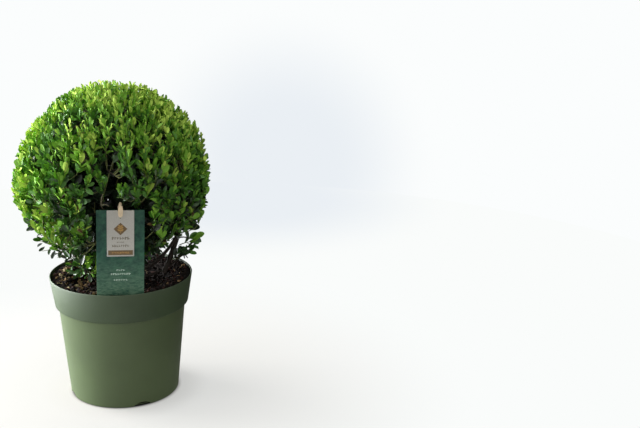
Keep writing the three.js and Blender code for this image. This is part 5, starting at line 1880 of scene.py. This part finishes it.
def spring_mesh():
    """A coil of wire across the peg, between its legs."""
    room = LABEL_THICKNESS + PANEL_THICKNESS + 3 * GAP
    radius = room / 2 - GAP - SPRING_WIRE
    middle = Vector((0, LABEL_THICKNESS / 2 + GAP - room / 2, LABEL_HEIGHT + SPRING_HEIGHT))
    curve = bpy.data.curves.new("peg_wire", "CURVE")
    curve.dimensions, curve.bevel_depth, curve.bevel_resolution = "3D", SPRING_WIRE, 2
    curve.use_fill_caps = True
    spline = curve.splines.new("POLY")
    steps = SPRING_STEPS * SPRING_TURNS
    spline.points.add(steps)
    for step, point in enumerate(spline.points):
        turn = 2 * math.pi * SPRING_TURNS * step / steps
        across = (step / steps - 0.5) * (PEG_WIDTH - 2 * SPRING_WIRE)
        place = middle + Vector((across, radius * math.cos(turn), radius * math.sin(turn)))
        point.co = (*place, 1)
    mesh = mesh_of_curve(curve)
    mesh.polygons.foreach_set("use_smooth", np.ones(len(mesh.polygons), bool))
    return mesh


# Stage

def cool_painted_shade(tree, patch, white):
    """Painted shade: a white that turns cooler round a place."""
    place = add_node(tree, "ShaderNodeTexCoord").outputs["Object"]
    reach = add_node(tree, "ShaderNodeVectorMath", {0: place, 1: patch["centre"]}, operation="DISTANCE")
    share = add_node(tree, "ShaderNodeMapRange", {
        "Value": reach.outputs["Value"], "From Min": patch["end"], "From Max": patch["start"]},
        interpolation_type="SMOOTHSTEP")
    return two_tones(tree, share.outputs["Result"], white, linear("#EAEFF4"), 0, 1)


def glowing_paper():
    """A backdrop lit evenly from behind, with a little painted cool shade behind the plant."""
    material, tree = new_material("glowing_paper")
    shader = add_node(tree, "ShaderNodeEmission", {"Color": cool_painted_shade(tree, DOME_PAINTED_SHADE, linear("#FBFDFD"))})
    return finish_material(material, shader)


def white_paper():
    """Matt white paper with a faint tooth, and painted deep shade under the pot."""
    material, tree = new_material("white_paper")
    tooth = grain(tree, 1.5 * MM, 3)
    place = add_node(tree, "ShaderNodeTexCoord").outputs["Object"]
    reach = add_node(tree, "ShaderNodeVectorMath", {0: place}, operation="LENGTH").outputs["Value"]
    # Painted shade: inside the pot's foot the paper turns nearly black
    outside = add_node(tree, "ShaderNodeMapRange", {
        "Value": reach, "From Min": POT_FOOT_RADIUS - 3 * MM, "From Max": POT_FOOT_RADIUS + MM})
    base = two_tones(tree, tooth, linear("#B6B1A9"), linear("#BCB7AF"))
    mixed = add_node(tree, "ShaderNodeMix", {
        "Factor": outside.outputs["Result"], MIX_FIRST: opaque(linear("#14110E")), MIX_SECOND: base},
        data_type="RGBA")
    shader = add_node(tree, "ShaderNodeBsdfPrincipled", {
        "Base Color": mixed.outputs[MIX_RESULT], "Roughness": 0.9, "Normal": bump(tree, tooth, 0.05 * MM)})
    return finish_material(material, shader)


def bounce_board():
    """Pale board under the paper that lights the plant from below, and turns dark on the right in painted
    shade, standing for a shadow on the floor there.
    """
    material, tree = new_material("bounce_board")
    fibres = grain(tree, 2 * MM, 3)
    base = two_tones(tree, fibres, linear("#DAD8D6"), linear("#E2E0DE"))
    place = add_node(tree, "ShaderNodeTexCoord").outputs["Object"]
    side = add_node(tree, "ShaderNodeSeparateXYZ", {"Vector": place}).outputs["X"]
    right = add_node(tree, "ShaderNodeMapRange", {
        "Value": side, "From Min": BOARD_DARK[0], "From Max": BOARD_DARK[1]})
    mixed = add_node(tree, "ShaderNodeMix", {
        "Factor": right.outputs["Result"], MIX_FIRST: base, MIX_SECOND: opaque(linear("#585654"))},
        data_type="RGBA")
    shader = add_node(tree, "ShaderNodeBsdfPrincipled", {
        "Base Color": mixed.outputs[MIX_RESULT], "Roughness": 0.95})
    return finish_material(material, shader)


def fading_glow():
    """Painted light over the paper floor: the lit backdrop's tone, which fades out towards the pot, lets the
    paper show through and lightens its shadows.
    """
    material, tree = new_material("fading_glow")
    place = add_node(tree, "ShaderNodeTexCoord").outputs["Object"]
    reach = add_node(tree, "ShaderNodeVectorMath", {0: place}, operation="LENGTH").outputs["Value"]
    far = add_node(tree, "ShaderNodeValToRGB", {"Fac": reach})
    far.color_ramp.interpolation = "EASE"
    for distance, share in GLOW_STOPS:
        stop = far.color_ramp.elements.new(distance)
        stop.color = (share, share, share, 1)
    clear = add_node(tree, "ShaderNodeBsdfTransparent").outputs[0]
    tone = cool_painted_shade(tree, FLOOR_PAINTED_SHADE, linear("#FAFCFB"))
    glow = add_node(tree, "ShaderNodeEmission", {"Color": tone}).outputs[0]
    mixed = add_node(tree, "ShaderNodeMixShader", {0: far.outputs["Color"], 1: clear, 2: glow})
    return finish_material(material, mixed)


def stage_object(name, bm, material):
    """A floor or backdrop that isn't part of the plant."""
    made = new_object(name, mesh_from(bm, name), [material])
    return made


def floor_disc(name, height, material):
    """A round floor at this height."""
    bm = bmesh.new()
    bmesh.ops.create_circle(bm, cap_ends=True, segments=FLOOR_SIDES, radius=FLOOR_RADIUS)
    bmesh.ops.translate(bm, vec=(0, 0, height), verts=bm.verts)
    return stage_object(name, bm, material)


def softbox(box, power):
    """A rectangular soft light that faces the plant."""
    light = bpy.data.lights.new(box["name"], "AREA")
    light.shape = "RECTANGLE"
    light.size, light.size_y = box["size"]
    light.energy, light.color = power, box["colour"]
    made = bpy.data.objects.new(box["name"], light)
    made.location = box["place"]
    made.rotation_euler = (Vector(LIGHT_TARGET) - Vector(box["place"])).to_track_quat("-Z", "Y").to_euler()
    bpy.context.scene.collection.objects.link(made)


def light_surround(scene, strength):
    """Soft light from all round, weakest from the right, the back and below."""
    world = bpy.data.worlds.new("surround")
    world.use_nodes = True
    tree = world.node_tree
    background = tree.nodes["Background"]
    background.inputs["Color"].default_value = opaque(linear("#F8F8F6"))
    across = add_node(tree, "ShaderNodeTexCoord").outputs["Generated"]
    side = add_node(tree, "ShaderNodeVectorMath", {0: across, 1: SHADE_TOWARDS}, operation="DOT_PRODUCT")
    fading = add_node(tree, "ShaderNodeMapRange", {
        "Value": side.outputs["Value"], "From Min": SHADE_RANGE[0], "From Max": SHADE_RANGE[1],
        "To Min": strength, "To Max": strength * SURROUND_RIGHT})
    tree.links.new(fading.outputs["Result"], background.inputs["Strength"])
    scene.world = world


def add_camera():
    """The photograph's camera."""
    heading, pitch, roll = (math.radians(angle) for angle in (CAMERA_HEADING, CAMERA_PITCH, CAMERA_ROLL))
    level = Vector((math.sin(heading), math.cos(heading), 0))
    forward = level * math.cos(pitch) - Vector((0, 0, math.sin(pitch)))
    right = Vector((math.cos(heading), -math.sin(heading), 0))
    above = right.cross(forward)
    right, above = (right * math.cos(roll) + above * math.sin(roll),
                    above * math.cos(roll) - right * math.sin(roll))
    camera = bpy.data.objects.new("camera", bpy.data.cameras.new("camera"))
    camera.data.lens, camera.data.sensor_width = CAMERA_LENS, CAMERA_SENSOR
    turned = Matrix((right, above, -forward)).transposed().to_4x4()
    camera.matrix_world = Matrix.Translation(CAMERA_PLACE) @ turned
    bpy.context.scene.collection.objects.link(camera)
    bpy.context.scene.camera = camera


class HOLLY_OT_stage(bpy.types.Operator):
    """Set the floor, the backdrop, the soft lights and the camera"""
    bl_idname = "holly.stage"
    bl_label = "Stage"

    def execute(self, context):
        stage = context.scene.holly_stage
        paper = floor_disc("floor", 0, white_paper())
        paper.visible_diffuse = paper.visible_glossy = False
        floor_disc("floor_base", -FLOOR_GAP, bounce_board())
        dome = bmesh.new()
        bmesh.ops.create_uvsphere(dome, u_segments=DOME_SEGMENTS, v_segments=DOME_RINGS, radius=DOME_RADIUS)
        bmesh.ops.reverse_faces(dome, faces=dome.faces)
        for made in (floor_disc("floor_glow", FLOOR_GAP, fading_glow()),
                     stage_object("backdrop", dome, glowing_paper())):
            made.visible_diffuse = made.visible_glossy = made.visible_shadow = False
        for box in SOFTBOXES:
            softbox(box, getattr(stage, f"{box['name']}_power"))
        light_surround(context.scene, stage.surround)
        context.scene.view_settings.view_transform = "Standard"
        add_camera()
        return {"FINISHED"}


class HOLLY_PT_panel(bpy.types.Panel):
    """Lists the pieces of the potted holly"""
    bl_idname = "HOLLY_PT_panel"
    bl_label = "Potted holly"
    bl_space_type = "VIEW_3D"
    bl_region_type = "UI"
    bl_category = "Holly"

    def draw(self, context):
        for operator in OPERATORS:
            self.layout.operator(operator.bl_idname)
        for name in SETTINGS:
            settings = getattr(context.scene, name)
            for field in settings.bl_rna.properties:
                if field.is_runtime:
                    self.layout.prop(settings, field.identifier)


SETTINGS = {
    "holly_plant": HollyPlantSettings,
    "holly_pot": HollyPotSettings,
    "holly_label": HollyLabelSettings,
    "holly_stage": HollyStageSettings,
}
OPERATORS = (
    HOLLY_OT_stage,
    HOLLY_OT_pot,
    HOLLY_OT_soil,
    HOLLY_OT_chips,
    HOLLY_OT_main_stem,
    HOLLY_OT_boughs,
    HOLLY_OT_twigs,
    HOLLY_OT_leaves,
    HOLLY_OT_label,
    HOLLY_OT_label_print,
    HOLLY_OT_peg,
)


def register():
    for made in (*SETTINGS.values(), *OPERATORS, HOLLY_PT_panel):
        bpy.utils.register_class(made)
    for name, settings in SETTINGS.items():
        setattr(bpy.types.Scene, name, PointerProperty(type=settings))


def unregister():
    for name in SETTINGS:
        delattr(bpy.types.Scene, name)
    for made in reversed((*SETTINGS.values(), *OPERATORS, HOLLY_PT_panel)):
        bpy.utils.unregister_class(made)


def main():
    """Makes every piece in order."""
    register()
    for operator in OPERATORS:
        group, name = operator.bl_idname.split(".")
        getattr(getattr(bpy.ops, group), name)()


if __name__ == "__main__":
    main()
